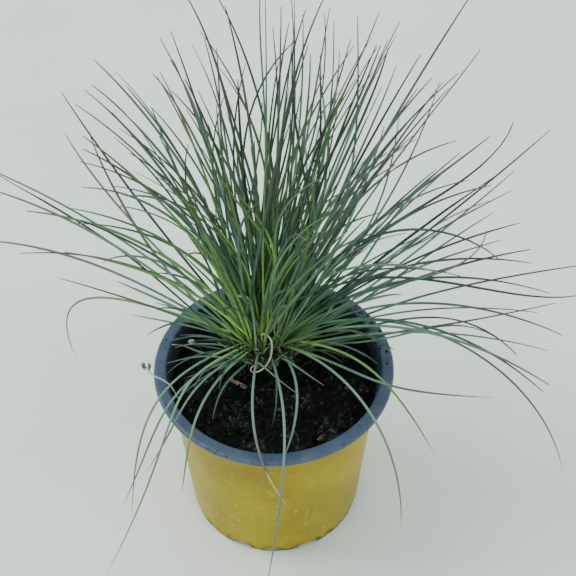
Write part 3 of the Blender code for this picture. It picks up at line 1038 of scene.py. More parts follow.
@dataclass(frozen=True)
class Crown:
    """The dome of old sheaths that the leaves grow from: the top half of a squashed ball.

    Attributes:
        centre: The middle of its base.
        radius: Its radius.
        rise: Its height.
        foot: How far it reaches down below its base.
        sheaths: Number of dead sheaths on it.
        sheath_length: Least and greatest length of a sheath, in millimetres.
        sheath_width: Least and greatest half-width of a sheath, in millimetres.
        seed: Seed of the sheaths.
    """

    centre: Point = (-4.0 * MM, 16.0 * MM, 81.5 * MM)
    radius: float = 14.0 * MM
    rise: float = 8.0 * MM
    foot: float = 0.6 * MM
    sheaths: int = 230
    sheath_length: tuple[float, float] = (8.0, 26.0)
    sheath_width: tuple[float, float] = (0.40, 0.70)
    seed: int = 71

    def point(self, distance: np.ndarray, heading: np.ndarray, lift: float) -> np.ndarray:
        """Points on the dome, raised by lift along its normal.

        Args:
            distance: Distances from the dome's axis.
            heading: Headings in degrees from +X towards +Y.
            lift: Height above the dome.

        Returns:
            (count, 3) points.
        """
        share = np.clip(distance / self.radius, 0.0, 0.999)
        height = self.rise * np.sqrt(1.0 - share**2)
        across, up = distance / self.radius**2, height / self.rise**2
        size = np.hypot(across, up)
        reach = distance + lift * across / size
        angle = np.radians(heading)
        return np.stack((
            self.centre[0] + reach * np.cos(angle),
            self.centre[1] + reach * np.sin(angle),
            self.centre[2] + height + lift * up / size,
        ), axis=-1)

    def dome(self) -> Surface:
        """The dome, roughened inwards by up to about a tenth of its size, and lowered by 0.4 mm."""
        polar = np.radians(np.linspace(4.0, 84.0, 18))
        skin = np.stack((self.radius * np.sin(polar), self.rise * np.cos(polar)), axis=1)
        foot = np.array(((self.radius * 0.9, -self.foot), (2.0 * MM, -self.foot)))
        profile = np.concatenate(([[0.0, self.rise]], skin, foot, [[0.0, -self.foot]]))
        body = turned(profile, 60, np.zeros(len(profile) - 3, int))
        knobs = Ripples(7.0 * MM, 1.5 * MM, 30, 9).height(body.points[:, 0], body.points[:, 1])
        body.points *= (1.0 - 0.05 + 0.05 * knobs)[:, None]
        body.points += np.array(self.centre) - 0.4 * MM * UP
        body.mix[:] = 0.75
        return body

    def build(self) -> None:
        """Make the dome and the short dead sheaths that cover it, which lean out more near its edge."""
        rng = np.random.default_rng(self.seed)
        count, still = self.sheaths, np.zeros(self.sheaths)
        distance = self.radius * np.sqrt(rng.uniform(0.02, 1.0, count))
        heading = rng.uniform(0.0, 360.0, count)
        outward = distance / self.radius
        growth = Growth(
            root=self.point(distance, heading, -0.5 * MM),
            heading=heading + rng.normal(0.0, 18.0, count),
            lean=rng.normal(0.0, 8.0, count) + 32.0 * outward**1.5,
            droop=rng.normal(6.0, 14.0, count),
            length=rng.uniform(*self.sheath_length, count) * MM * (1.2 - 0.5 * outward),
            sway=rng.normal(0.0, 25.0, count),
            flick=still,
            wave=still,
            phase=still,
        )
        mix = np.zeros((count, 4))
        mix[:, 0] = rng.uniform(0.0, 1.15, count) ** 1.6
        radii = half_widths(self.sheath_width, 0.3, count, 8, rng)
        sheaths = growth.leaves(radii, rng.normal(0.0, 30.0, count), mix)
        finish = DryFinish("old_sheath", pale=(0.27, 0.38, 0.19, 1.0), brown=(0.058, 0.062, 0.040, 1.0))
        piece = Surface.joined((self.dome(), sheaths)).make("crown_sheaths", [finish.material()])
        settle(piece, ["crown"])


def blade(route: np.ndarray, side: Sequence[float], radii: np.ndarray,
          mix: Sequence[float], section: np.ndarray | None = None) -> Surface:
    """One leaf or stem along a route, with a finely rolled section unless another is given.

    Args:
        route: (stations, 3) points.
        side: The direction of its width, the same all along.
        radii: (stations,) half-widths.
        mix: Four finish numbers.
        section: The section's corners.

    Returns:
        Its surface.
    """
    sides = np.tile(np.array(side), (1, len(route), 1))
    section = fine_rolled_section() if section is None else section
    return tubes(route[None], sides, radii[None], section, np.array((mix,)))


def taper(share: np.ndarray, tip: float) -> np.ndarray:
    """A leaf's width along its length: narrow foot, full by a seventh, then thinning to its tip."""
    foot = 0.72 + 0.28 * np.clip(share / 0.14, 0.0, 1.0)
    return foot * (1.0 - (1.0 - tip) * share**5)


def half_widths(limits: tuple[float, float], tip: float, count: int, stations: int,
                rng: np.random.Generator) -> np.ndarray:
    """Random half-widths for many leaves, tapered along each.

    Args:
        limits: Least and greatest half-width in millimetres.
        tip: Share of it left at the tip.
        count: Number of leaves.
        stations: Points along each leaf.
        rng: The source of random numbers.

    Returns:
        (count, stations) half-widths.
    """
    return rng.uniform(*limits, count)[:, None] * MM * taper(np.linspace(0.0, 1.0, stations), tip)[None]


@dataclass(frozen=True)
class Bends:
    """How far leaves sway aside, flick up and wave, as normal spreads in degrees."""

    sway: float
    flick: float
    wave: float

    def draw(self, count: int, rng: np.random.Generator) -> dict[str, np.ndarray]:
        """Random bends for this many leaves.

        Args:
            count: Number of leaves.
            rng: The source of random numbers.

        Returns:
            The last four fields of a Growth, by name.
        """
        return {
            "sway": rng.normal(0.0, self.sway, count),
            "flick": rng.normal(0.0, self.flick, count),
            "wave": rng.normal(0.0, self.wave, count),
            "phase": rng.uniform(0.0, 1.0, count),
        }


@dataclass
class Growth:
    """A set of leaves that grow by one law.

    At share s of its length a leaf leans from upright by lean plus droop times s to the power 1.6, less
    flick times s to the fourth. It bends aside by sway times s to the power 1.5, plus wave times the
    sine of 0.9 s plus phase turns. Its route is the sum of steps in that direction.

    Attributes:
        root: (leaves, 3) where each leaf starts.
        heading: Heading in degrees from +X towards +Y.
        lean: Lean from upright at the root, in degrees.
        droop: Lean gained by the tip, in degrees.
        length: Leaf lengths.
        sway: Sideways bend gained by the tip, in degrees.
        flick: Lean lost again near the tip, in degrees.
        wave: Size of the slow wave in the sideways bend, in degrees.
        phase: Where that wave starts, in turns.
    """

    root: np.ndarray
    heading: np.ndarray
    lean: np.ndarray
    droop: np.ndarray
    length: np.ndarray
    sway: np.ndarray
    flick: np.ndarray
    wave: np.ndarray
    phase: np.ndarray

    def axes(self) -> tuple[np.ndarray, np.ndarray]:
        """Level unit directions out along each leaf's heading and across it, each (leaves, 1, 3)."""
        out, across = level_axes(self.heading)
        return out[:, None], across[:, None]

    def routes(self, stations: int) -> np.ndarray:
        """(leaves, stations, 3) points along every leaf."""
        share = np.linspace(0.0, 1.0, stations)
        middle = ((share[1:] + share[:-1]) / 2.0)[None]
        tilt = np.radians(self.lean[:, None] + self.droop[:, None] * middle**1.6
                          - self.flick[:, None] * middle**4)[..., None]
        ripple = np.sin(2.0 * np.pi * (0.9 * middle + self.phase[:, None]))
        bend = np.radians(self.sway[:, None] * middle**1.5 + self.wave[:, None] * ripple)[..., None]
        out, across = self.axes()
        upright = out * np.sin(tilt) + UP * np.cos(tilt)
        step = upright * np.cos(bend) + across * np.sin(bend)
        walked = np.cumsum(step, axis=1) * (self.length / (stations - 1))[:, None, None]
        return np.concatenate((self.root[:, None], self.root[:, None] + walked), axis=1)

    def joined(self, other: "Growth") -> "Growth":
        """Both sets of leaves as one, this set first."""
        pairs = ((getattr(self, each.name), getattr(other, each.name)) for each in fields(self))
        return Growth(*(np.concatenate(pair) for pair in pairs))

    def keep_inside(self, box: tuple[Vector, Vector], stations: int) -> None:
        """Shorten each leaf until it stays in the box: its length times the least share, over the six
        sides, of its run towards that side that has room.

        Args:
            box: Lowest and highest corners.
            stations: Points along each leaf.
        """
        routes = self.routes(stations)
        run = routes - self.root[:, None]
        low, high = (np.array(corner) for corner in box)
        room_high = (high - self.root) / np.maximum(run.max(axis=1), 1.0e-9)
        room_low = (low - self.root) / np.minimum(run.min(axis=1), -1.0e-9)
        share = np.minimum(room_high, room_low).min(axis=1)
        self.length = self.length * np.minimum(share, 1.0)

    def leaves(self, radii: np.ndarray, twist: np.ndarray, mix: np.ndarray) -> Surface:
        """Carry a rolled section along every route, turned about it by the twist, more towards the tip.

        Args:
            radii: (leaves, stations) half-widths.
            twist: (leaves,) turn of the section in degrees.
            mix: (leaves, 4) finish numbers.

        Returns:
            The leaves' surfaces.
        """
        stations = radii.shape[1]
        out, across = self.axes()
        share = np.linspace(0.0, 1.0, stations)[None]
        turn = np.radians(twist[:, None] * (0.5 + share))[..., None]
        sides = across * np.cos(turn) + (out + UP) * np.sin(turn) / math.sqrt(2.0)
        return tubes(self.routes(stations), sides, radii, rolled_section(), mix)


@dataclass(frozen=True)
class TuftRing:
    """One ring of tufts on the crown.

    Attributes:
        name: Name of its tufts.
        distance: Distance of its roots from the crown's axis.
        count: Number of tufts.
        first: First heading in degrees.
        step: Step between headings in degrees.
        lean: Lean from upright in degrees.
        droop: Lean gained by the tip in degrees.
        length: Length of a full leaf.
        leaves: Leaves in a tuft that faces right, and in one that faces left.
        fan: Spread of headings within a tuft, in degrees.
        tone: How its leaves are coloured.
    """

    name: str
    distance: float
    count: int
    first: float
    step: float
    lean: float
    droop: float
    length: float
    leaves: tuple[int, int]
    fan: float
    tone: Tone

    def tuft_name(self, index: int) -> str:
        """The name of the frame node for one of its tufts."""
        return self.name if self.count == 1 else f"{self.name}_{index + 1}"


@dataclass(frozen=True)
class LeaderFan:
    """Long leaves of the outline that open as an even fan from one tuft. They join the tuft's piece.

    Each pair holds the value of the fan's first leaf and of its last, in degrees. A single number holds
    for them all.

    Attributes:
        tuft: The tuft that they grow in.
        count: How many leaves the fan has.
        heading: Headings.
        lean: Leans from upright.
        droop: Leans gained by the tips.
        sway: Sideways bends gained by the tips.
        length: Length of the leaves in millimetres.
        tone: The tone that their colours are drawn from.
        curl: Leans lost again near the tips.
    """

    tuft: str
    count: int
    heading: Span
    lean: Span
    droop: Span
    sway: Span
    length: float
    tone: Tone = Tone.OUTER
    curl: Span = 0.0

    def even(self, span: Span) -> np.ndarray:
        """This fan's values spread evenly from the first leaf's to the last's."""
        return np.linspace(*np.broadcast_to(span, 2), self.count)


@dataclass(frozen=True)
class ArchingLeaf:
    """A single leaf that arches over the lip.

    Attributes:
        name: Name of its frame node.
        heading: Heading of its root on the crown, in degrees.
        shoulder: Point a third of the way along, in millimetres.
        knee: Point two thirds of the way along, in millimetres.
        tip: Its tip, in millimetres.
        mix: Bloom, youth, bronzing and dead tip.
        width: Full width in millimetres.
    """

    name: str
    heading: float
    shoulder: Point
    knee: Point
    tip: Point
    mix: tuple[float, float, float, float]
    width: float = 1.16


# Rings of tufts, from the heart outwards.
RINGS = (
    TuftRing("heart_tuft", 0.0, 1, 90.0, 0.0, 2.0, 4.0, 144.0 * MM, (16, 16), 180.0, Tone.HEART),
    TuftRing("inner_tuft", 4.3 * MM, 6, 75.0, 60.0, 10.0, 6.0, 148.0 * MM, (14, 11), 32.0, Tone.HEART),
    TuftRing("middle_tuft", 8.3 * MM, 10, 90.0, 36.0, 17.0, 20.0, 149.0 * MM, (10, 5), 24.0, Tone.BODY),
    TuftRing("outer_tuft", 12.0 * MM, 12, -4.0, 17.5, 34.0, 30.0, 138.0 * MM, (2, 1), 15.0, Tone.OUTER),
    TuftRing("right_skirt_tuft", 13.3 * MM, 5, 5.0, 17.5, 60.0, 24.0, 134.0 * MM, (3, 3), 9.0, Tone.SKIRT),
    TuftRing("left_skirt_tuft", 13.3 * MM, 3, 127.0, 17.5, 54.0, 26.0, 104.0 * MM, (2, 2), 9.0, Tone.SKIRT),
)

# The long leaves of the outline.
FANS = (
    LeaderFan("middle_tuft_4", 3, (180, 200), (20, 30), (30, 45), (-5, 5), 135, Tone.LEFT),
    LeaderFan("middle_tuft_5", 6, (205, 225), (10, 35), (55, 10), (5, -10), 140, Tone.LEFT),
    LeaderFan("inner_tuft_3", 3, (160, 185), (15, 10), (40, 50), (5, 10), 135, Tone.LEFT),
    LeaderFan("inner_tuft_2", 1, 150, 15, 35, 5, 150),
    LeaderFan("middle_tuft_3", 1, 160, 35, 15, -20, 140),
    LeaderFan("outer_tuft_9", 1, 140, 70, 15, -20, 145, Tone.LEFT),
    LeaderFan("outer_tuft_8", 1, 115, 45, 40, 10, 145),
    LeaderFan("outer_tuft_7", 3, (100, 110), (40, 45), (40, 15), (10, 5), 145),
    LeaderFan("middle_tuft_1", 3, (80, 105), (45, 40), 15, 10, 145),
    LeaderFan("inner_tuft_1", 5, (65, 90), (25, 10), (0, 20), (20, -5), 148),
    LeaderFan("middle_tuft_10", 6, (45, 75), (25, 40), (20, 10), (-5, 15), 145),
    LeaderFan("outer_tuft_5", 1, 65, 55, 10, 0, 145),
    LeaderFan("outer_tuft_4", 3, (50, 55), (45, 60), (30, 20), (-10, 0), 140),
    LeaderFan("outer_tuft_3", 1, 35, 30, 15, -5, 175),
    LeaderFan("middle_tuft_9", 1, 30, 25, 15, 0, 150),
    LeaderFan("inner_tuft_6", 1, 15, 20, 15, 0, 150),
    LeaderFan("middle_tuft_8", 2, (-15, -25), (30, 25), (5, 15), 0, 140),
    LeaderFan("middle_tuft_8", 1, -5, 25, 85, -10, 155, curl=100),
    LeaderFan("outer_tuft_2", 1, 20, 55, 0, 10, 150),
    LeaderFan("outer_tuft_1", 4, (-15, -30), (30, 40), (15, 35), (5, -5), 145),
    LeaderFan("outer_tuft_1", 5, (-25, -35), (30, 40), (50, 70), (-15, 0), 153),
    LeaderFan("outer_tuft_1", 1, -25, 20, 140, 0, 165, curl=120),
    LeaderFan("outer_tuft_1", 2, (-25, -30), (20, 30), (45, 70), (-5, -10), 150, curl=(-60, 100)),
    LeaderFan("outer_tuft_1", 2, (-30, -50), (50, 40), (35, 25), -5, 125),
    LeaderFan("right_skirt_tuft_1", 1, -10, 70, 5, 5, 120),
)

# Single leaves over the lip: name, root heading, shoulder, knee, tip, mix and, where it isn't usual, width.
ARCHING_LEAVES = tuple(ArchingLeaf(*row) for row in (
    ("front_leaf_1", -110.0, (-9, -22, 99), (-7, -48, 95), (4, -59, 71), (1.3, 0.0, 0.9, 0.18)),
    ("front_leaf_2", -78.0, (3, -26, 99), (3, -58, 90), (-5, -66, 12), (1.3, 0.1, 0.2, 0.02)),
    ("front_leaf_3", -62.0, (9, -15, 97), (8, -38, 97), (4, -50, 93), (1.35, 0.05, 0.0, 0.02)),
    ("front_leaf_4", -48.0, (26, -15, 101), (45, -43, 92), (53, -60, 52), (1.1, 0.1, 0.2, 0.02)),
    ("front_leaf_5", -23.0, (28, 0, 98), (48, -17, 95), (68, -34, 70), (0.6, 0.55, 0.2, 0.03)),
    ("front_leaf_6", -35.0, (32, -8, 95), (53, -20, 97), (92, -22, 92), (0.8, 0.0, 0.4, 0.02)),
    ("left_leaf_1", -120.0, (-27, -20, 97), (-35, -42, 92), (-40, -47, 62), (1.1, 0.1, 0.1, 0.02), 1.05),
    ("left_leaf_2", -131.0, (-31, -16, 97), (-41, -34, 95), (-55, -42, 70), (0.9, 0.0, 1.0, 0.03), 0.95),
    ("left_leaf_3", -141.0, (-35, -22, 105), (-47, -45, 90), (-77, -57, 12), (1.05, 0.1, 0.3, 0.02), 1.05),
    ("left_leaf_4", -151.0, (-37, -18, 99), (-50, -38, 92), (-67, -45, 48), (0.8, 0.1, 1.0, 0.02), 1.0),
    ("left_leaf_5", -161.0, (-40, -12, 97), (-55, -34, 88), (-64, -42, 38), (1.0, 0.1, 0.1, 0.02), 1.05),
    ("left_leaf_6", -171.0, (-27, 8, 88), (-36, 9, 90), (-45, 10, 92), (1.35, 0.0, 0.7, 0.05)),
    ("left_leaf_7", 179.0, (-40, 18, 102), (-80, 24, 108), (-91, 20, 72), (0.6, 0.3, 0.1, 0.02)),
    ("right_leaf_1", -13.0, (56, 7, 107), (103, -8, 86), (131, -24, 40), (0.5, 0.0, 0.9, 0.02), 1.1),
))


@dataclass
class FescueClump:
    """All the living leaves: the tufts in their rings, and the single leaves that arch over the lip.

    Attributes:
        crown: The crown that they grow from.
        rings: The rings of tufts, from the heart outwards.
        arching: The single leaves.
        fans: The long leaves of the outline.
        stations: Points along a tuft's leaf.
        arching_stations: Points along an arching leaf.
        companion_stations: Points along an arching leaf's companion.
        lift: Height of the roots above the crown's dome.
        scatter: Spread of a tuft's roots.
        sink: How far a root may lie deeper than that.
        heading_spread: Spread of headings, as a share of the ring's own.
        lean_spread: Spread of leans in degrees.
        lean_limits: Least and greatest lean in degrees.
        extra_droop: Mean and spread of the droop that a leaf adds to its ring's, in degrees.
        half_width: Least and greatest half-width of a tuft's leaf, in millimetres.
        twist: Spread of the leaves' turn about their length, in degrees.
        bends: Sideways bends and flicks of a tuft's leaves.
        companion_root: Distance of a companion's root from the crown's axis.
        companion_lean: Least and greatest lean of a companion, in degrees.
        companion_droop: Least and greatest droop of one, in degrees.
        companion_length: Least and greatest length of one, in millimetres.
        companion_half_width: Least and greatest half-width of one, in millimetres.
        companion_bends: Sideways bends and flicks of companions.
        fan_spreads: Spreads of a fan's headings, leans, droops and sways, in degrees.
        fan_root: Distance from the crown's axis at which a leader is rooted when it leans by fan_lean.
        fan_lean: That lean in degrees.
        arch_root: Distance of an arching leaf's root from the crown's axis.
        arch_lift: Height of that root above the dome.
        seed: Seed of the leaves' differences.
    """

    crown: Crown
    rings: tuple[TuftRing, ...] = RINGS
    arching: tuple[ArchingLeaf, ...] = ARCHING_LEAVES
    fans: tuple[LeaderFan, ...] = FANS
    stations: int = 26
    arching_stations: int = 40
    companion_stations: int = 15
    lift: float = 0.2 * MM
    scatter: float = 0.95 * MM
    sink: float = 0.6 * MM
    heading_spread: float = 1.1
    lean_spread: float = 7.5
    lean_limits: tuple[float, float] = (-4.0, 76.0)
    extra_droop: tuple[float, float] = (4.0, 17.0)
    half_width: tuple[float, float] = (0.50, 0.72)
    twist: float = 45.0
    bends: Bends = Bends(24.0, 16.0, 7.0)
    companion_root: float = 12.0 * MM
    companion_lean: tuple[float, float] = (38.0, 62.0)
    companion_droop: tuple[float, float] = (35.0, 75.0)
    companion_length: tuple[float, float] = (20.0, 58.0)
    companion_half_width: tuple[float, float] = (0.38, 0.6)
    companion_bends: Bends = Bends(25.0, 10.0, 6.0)
    fan_spreads: tuple[float, ...] = (2.0, 2.0, 6.0, 4.0)
    fan_root: float = 12.5 * MM
    fan_lean: float = 60.0
    arch_root: float = 5.5 * MM
    arch_lift: float = 1.2 * MM
    seed: int = 7

    def tuft(self, ring: TuftRing, index: int, rng: np.random.Generator) -> Surface:
        """One tuft's leaves, each a little different from the ring's own lean, length and heading.

        A quarter of the leaves are short: a leaf's length rises steeply with its fullness up to 0.25,
        and slowly above that.

        Args:
            ring: The tuft's ring.
            index: Which tuft of the ring.
            rng: The source of random numbers.

        Returns:
            The tuft's surface.
        """
        middle = ring.first + index * ring.step
        count = ring.leaves[int(math.cos(math.radians(middle)) < 0.0)]
        root = self.crown.point(np.full(count, ring.distance), np.full(count, middle), self.lift)
        root[:, :2] += rng.normal(0.0, self.scatter, (count, 2))
        root[:, 2] -= rng.uniform(0.0, self.sink, count)
        fullness = rng.uniform(0.0, 1.0, count)
        growth = Growth(
            root=root,
            heading=middle + rng.normal(0.0, self.heading_spread, count) * ring.fan,
            lean=np.clip(ring.lean + rng.normal(0.0, self.lean_spread, count), *self.lean_limits),
            droop=ring.droop + rng.normal(*self.extra_droop, count),
            length=ring.length * np.where(fullness > 0.25, 0.66 + 0.41 * fullness, 0.3 + 1.2 * fullness),
            **self.bends.draw(count, rng),
        )
        mix = ring.tone.draw(count, rng)
        for number, fan in enumerate(self.fans):
            if fan.tuft == ring.tuft_name(index):
                own = np.random.default_rng((self.seed, number))
                growth = growth.joined(self.fan_growth(fan, own))
                mix = np.concatenate((mix, fan.tone.draw(fan.count, own)))
        growth.keep_inside(CAD_BOX, self.stations)
        total = len(growth.length)
        radii = half_widths(self.half_width, 0.30, total, self.stations, rng)
        return growth.leaves(radii, rng.normal(0.0, self.twist, total), mix)

    def fan_growth(self, fan: LeaderFan, rng: np.random.Generator) -> Growth:
        """The growth of a fan's leaves, whose roots lie further out on the crown the more they lean.

        Args:
            fan: The fan.
            rng: The fan's own source of random numbers.

        Returns:
            Their growth, with each leaf a little off its even place in the fan.
        """
        heading, lean, droop, sway = (
            fan.even(span) + rng.normal(0.0, spread, fan.count)
            for span, spread in zip((fan.heading, fan.lean, fan.droop, fan.sway), self.fan_spreads)
        )
        length = fan.length * MM * rng.uniform(0.93, 1.02, fan.count)
        distance = self.fan_root * np.clip(lean / self.fan_lean, 0.0, 1.0)
        root = self.crown.point(distance, heading, self.lift)
        still = np.zeros(fan.count)
        return Growth(root, heading, lean, droop, length, sway, fan.even(fan.curl), still, still)

    def companions(self, leaf: ArchingLeaf, rng: np.random.Generator) -> Surface:
        """Short leaves grown afresh round an arching leaf's root: one at the front, three elsewhere.

        Args:
            leaf: The arching leaf.
            rng: The source of random numbers.

        Returns:
            Their surface.
        """
        count = 1 if leaf.name.startswith("front") else 3
        root = self.crown.point(np.array((self.companion_root,)), np.array((leaf.heading,)), self.lift)[0]
        lean = rng.uniform(*self.companion_lean, count)
        heading = leaf.heading + rng.normal(0.0, 20.0, count)
        growth = Growth(
            root=root + rng.normal(0.0, 0.9 * MM, (count, 3)) * (1.0, 1.0, 0.2),
            heading=heading,
            lean=lean,
            droop=rng.uniform(*self.companion_droop, count),
            length=rng.uniform(*self.companion_length, count) * MM,
            **self.companion_bends.draw(count, rng),
        )
        radii = half_widths(self.companion_half_width, 0.25, count, self.companion_stations, rng)
        return growth.leaves(radii, rng.normal(0.0, self.twist, count), Tone.SKIRT.draw(count, rng))

    def arch(self, leaf: ArchingLeaf) -> Surface:
        """An arching leaf: a cubic through its root, shoulder, knee and tip at even shares of its run.

        Args:
            leaf: The leaf.

        Returns:
            Its surface.
        """
        root = self.crown.point(np.array((self.arch_root,)), np.array((leaf.heading,)), self.arch_lift)[0]
        marks = np.stack((root, *(np.array(p) * MM for p in (leaf.shoulder, leaf.knee, leaf.tip))))
        share = np.linspace(0.0, 3.0, self.arching_stations)
        route = sum(
            np.prod([(share - j) / (i - j) for j in range(4) if j != i], axis=0)[:, None] * marks[i]
            for i in range(4)
        )
        chord = marks[3] - marks[0]
        side = np.array((-chord[1], chord[0], 0.0)) / math.hypot(chord[0], chord[1])
        radii = leaf.width * MM / 2.0 * taper(share / 3.0, 0.2)
        return blade(route, side, radii, leaf.mix)

    def build(self) -> None:
        """Make every tuft and every arching leaf as a piece of its own."""
        finish = LeafFinish().material()
        rng = np.random.default_rng(self.seed)
        for ring in self.rings:
            for index in range(ring.count):
                node = ring.tuft_name(index)
                piece = self.tuft(ring, index, rng).make(f"{node}_leaves", [finish])
                settle(piece, [node])
        for leaf in self.arching:
            surface = Surface.joined((self.arch(leaf), self.companions(leaf, rng)))
            piece = surface.make(f"{leaf.name}_blade", [finish])
            settle(piece, [leaf.name])


# ---------------------------------------------------------------------------------------------------
# Small things in the pot
# ---------------------------------------------------------------------------------------------------


def smooth_route(marks: Sequence[Point], stations: int) -> np.ndarray:
    """A smooth route through marks: on each span a cubic whose end slopes are half the chord of its
    neighbours.

    Args:
        marks: Points to pass through, in millimetres.
        stations: Number of points wanted.

    Returns:
        (stations, 3) points in metres.
    """
    points = np.array(marks) * MM
    padded = np.concatenate((2 * points[:1] - points[1:2], points, 2 * points[-1:] - points[-2:-1]))
    place = np.linspace(0.0, len(points) - 1.0, stations)
    span = np.minimum(place.astype(int), len(points) - 2)
    t = (place - span)[:, None]
    before, start, end, after = (padded[span + i] for i in range(4))
    slope_in, slope_out = (end - before) / 2.0, (after - start) / 2.0
    return (start * (2 * t**3 - 3 * t**2 + 1) + slope_in * (t**3 - 2 * t**2 + t)
            + end * (3 * t**2 - 2 * t**3) + slope_out * (t**3 - t**2))


@dataclass(frozen=True)
class DryLeaf:
    """The withered leaf that curls over the front of the crown.

    Attributes:
        route: Points that it passes through, in millimetres.
        width: Its full width.
    """

    route: tuple[Point, ...] = (
        (-4.6, 9.0, 91.0), (-5.0, 6.8, 98.5), (-5.0, 3.8, 104.8), (-3.6, 1.8, 107.8), (-1.3, 0.9, 105.4),
        (-0.8, 0.4, 100.6), (-1.2, -0.3, 96.0), (-2.6, -1.4, 92.4), (-4.8, -2.8, 90.0), (-7.6, -3.6, 88.8),
        (-9.6, -3.6, 89.0), (-10.2, -3.0, 90.4), (-9.0, -2.4, 91.6),
    )
    width: float = 0.95 * MM

    def build(self) -> None:
        """Make the curl."""
        stations = 70
        radii = self.width / 2.0 * (1.0 - 0.6 * np.linspace(0.0, 1.0, stations) ** 2)
        surface = blade(smooth_route(self.route, stations), (0.85, -0.5, 0.1), radii, (0.05, 0.0, 0.0, 0.0))
        finish = DryFinish("withered_leaf", pale=(0.64, 0.61, 0.45, 1.0))
        settle(surface.make("dry_curled_leaf_blade", [finish.material()]), ["dry_curled_leaf"])


@dataclass(frozen=True)
class BentLeaf:
    """A leaf at the front of the crown that is folded over near its tip, so its pale face shows.

    Attributes:
        route: Points that it passes through, in millimetres.
        width: Its full width.
        folded: Share of its run, from the tip, that is folded over.
    """

    route: tuple[Point, ...] = (
        (-7.6, 5.0, 88.0), (-7.8, 2.4, 104.0), (-8.4, 2.6, 118.0), (-9.5, 3.2, 126.6), (-10.7, 3.7, 128.6),
        (-13.2, 4.2, 128.9), (-16.0, 4.8, 129.3),
    )
    width: float = 1.15 * MM
    folded: float = 0.36

    def build(self) -> None:
        """Make the leaf."""
        stations = 48
        radii = self.width / 2.0 * taper(np.linspace(0.0, 1.0, stations), 0.5)
        route = smooth_route(self.route, stations)
        surface = blade(route, (0.35, -0.9, 0.2), radii, (1.1, 0.1, 0.0, self.folded))
        finish = LeafFinish("folded_leaf_wax", straw=(0.46, 0.56, 0.50, 1.0))
        settle(surface.make("bent_leaf_blade", [finish.material()]), [])


@dataclass(frozen=True)
class WeedSeedling:
    """The little weed: a pale stem and pairs of small oval leaves at its head.

    Attributes:
        route: Points of the stem, in millimetres.
        head: Leaves at the head: heading and pitch in degrees, then length and how far right of the
            stem's end and above it they start, in millimetres.
    """

    route: tuple[Point, ...] = (
        (-41.4, -12.8, 82.0), (-43.2, -12.0, 87.0), (-44.9, -11.4, 90.6), (-47.6, -11.1, 93.8),
        (-50.6, -11.3, 96.4), (-52.7, -11.0, 98.3), (-54.0, -9.8, 99.6),
    )
    head: tuple[tuple[float, float, float, float, float], ...] = (
        (118.0, 75.0, 4.8, -1.0, 0.0), (66.0, 74.0, 4.6, 0.9, -0.2), (150.0, 60.0, 2.2, 0.2, 0.0),
        (190.0, 15.0, 1.6, 0.1, -0.3), (340.0, 25.0, 2.0, 0.2, -0.5),
    )

    def leaf(self, heading: float, pitch: float, length: float, right: float, above: float) -> Surface:
        """One oval leaf: its half-width is a sine of its length, a little dished, 0.2 mm thick.

        Args:
            heading: Heading in degrees.
            pitch: Rise above level in degrees.
            length: Length in millimetres.
            right: How far right of the stem's end its foot lies, in millimetres.
            above: Height of its foot above the stem's end, in millimetres.

        Returns:
            Its surface.
        """
        share = np.linspace(0.0, 1.0, 12)
        level, side = level_axes(heading)
        rise = math.radians(pitch)
        out = level * math.cos(rise) + UP * math.sin(rise)
        foot = (np.array(self.route[-1]) + np.array((right, 0.0, above))) * MM
        route = foot + share[:, None] * out * length * MM
        route[:, 2] -= 0.25 * length * MM * share**2
        half_width = 0.19 * length * MM * np.sin(np.pi * np.clip(share * 0.9 + 0.08, 0.0, 1.0)) ** 0.8
        oval = ring_section(10) * np.array((1.0, 0.16))
        oval[:, 1] += 0.25 * oval[:, 0] ** 2
        return blade(route, side, half_width, (0.6, 0.9, 0.0, 0.0), oval)

    def build(self) -> None:
        """Make the stem and its head of leaves as one piece."""
        route = smooth_route(self.route, 40)
        radii = np.full(len(route), 0.34 * MM)
        stem = blade(route, (0.0, 1.0, 0.0), radii, (1.0, 0.0, 0.0, 0.0), ring_section(8))
        dark, pale = (0.50, 0.55, 0.50, 1.0), (0.62, 0.70, 0.64, 1.0)
        finish = LeafFinish("weed_leaf_skin", deep=dark, far=dark, bloom=pale, wax=pale,
                            young=(0.040, 0.075, 0.006, 1.0), sheath=(0.05, 0.09, 0.015, 1.0))
        surface = Surface.joined([stem] + [self.leaf(*leaf) for leaf in self.head])
        piece = surface.make("weed_seedling_growth", [finish.material()])
        settle(piece, ["weed_seedling"])


@dataclass(frozen=True)
class LooseChip:
    """A split chip of bark that lies where its frame node does.

    Attributes:
        node: Its frame node.
        heading: Heading of its length in degrees.
        length: Length.
        width: Width.
        height: Thickness.
        seed: Seed of its ragged shape.
    """

    node: str
    heading: float
    length: float
    width: float
    height: float
    seed: int

    def build(self, finish: bpy.types.Material) -> None:
        """Make the chip: a flat tube whose edge and ends are ragged, with its half-width narrowing as
        the sixth power of its run.

        Args:
            finish: The chip's material.
        """
        low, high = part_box(self.node)
        rng = np.random.default_rng(self.seed)
        stations = 22
        share = np.linspace(-1.0, 1.0, stations)
        out, aside = level_axes(self.heading)
        route = np.array((low + high) / 2.0) + share[:, None] * out * self.length / 2.0
        route += aside * (0.25 * MM * np.sin(share * 2.6 + self.seed))[:, None]
        full = self.width / 2.0 * (1.0 - 0.75 * np.abs(share) ** 6) * rng.uniform(0.85, 1.05, stations)
        section = ring_section(16)
        section = np.sign(section) * np.abs(section) ** 0.6 * np.array((1.0, self.height / self.width))
        surface = blade(route, aside, full, (1.0, 1.0, 1.0, 1.0), section)
        surface.points += rng.uniform(-0.12, 0.12, surface.points.shape) * MM
        piece = surface.make(f"{self.node}_split", [finish])
        settle(piece, [self.node])


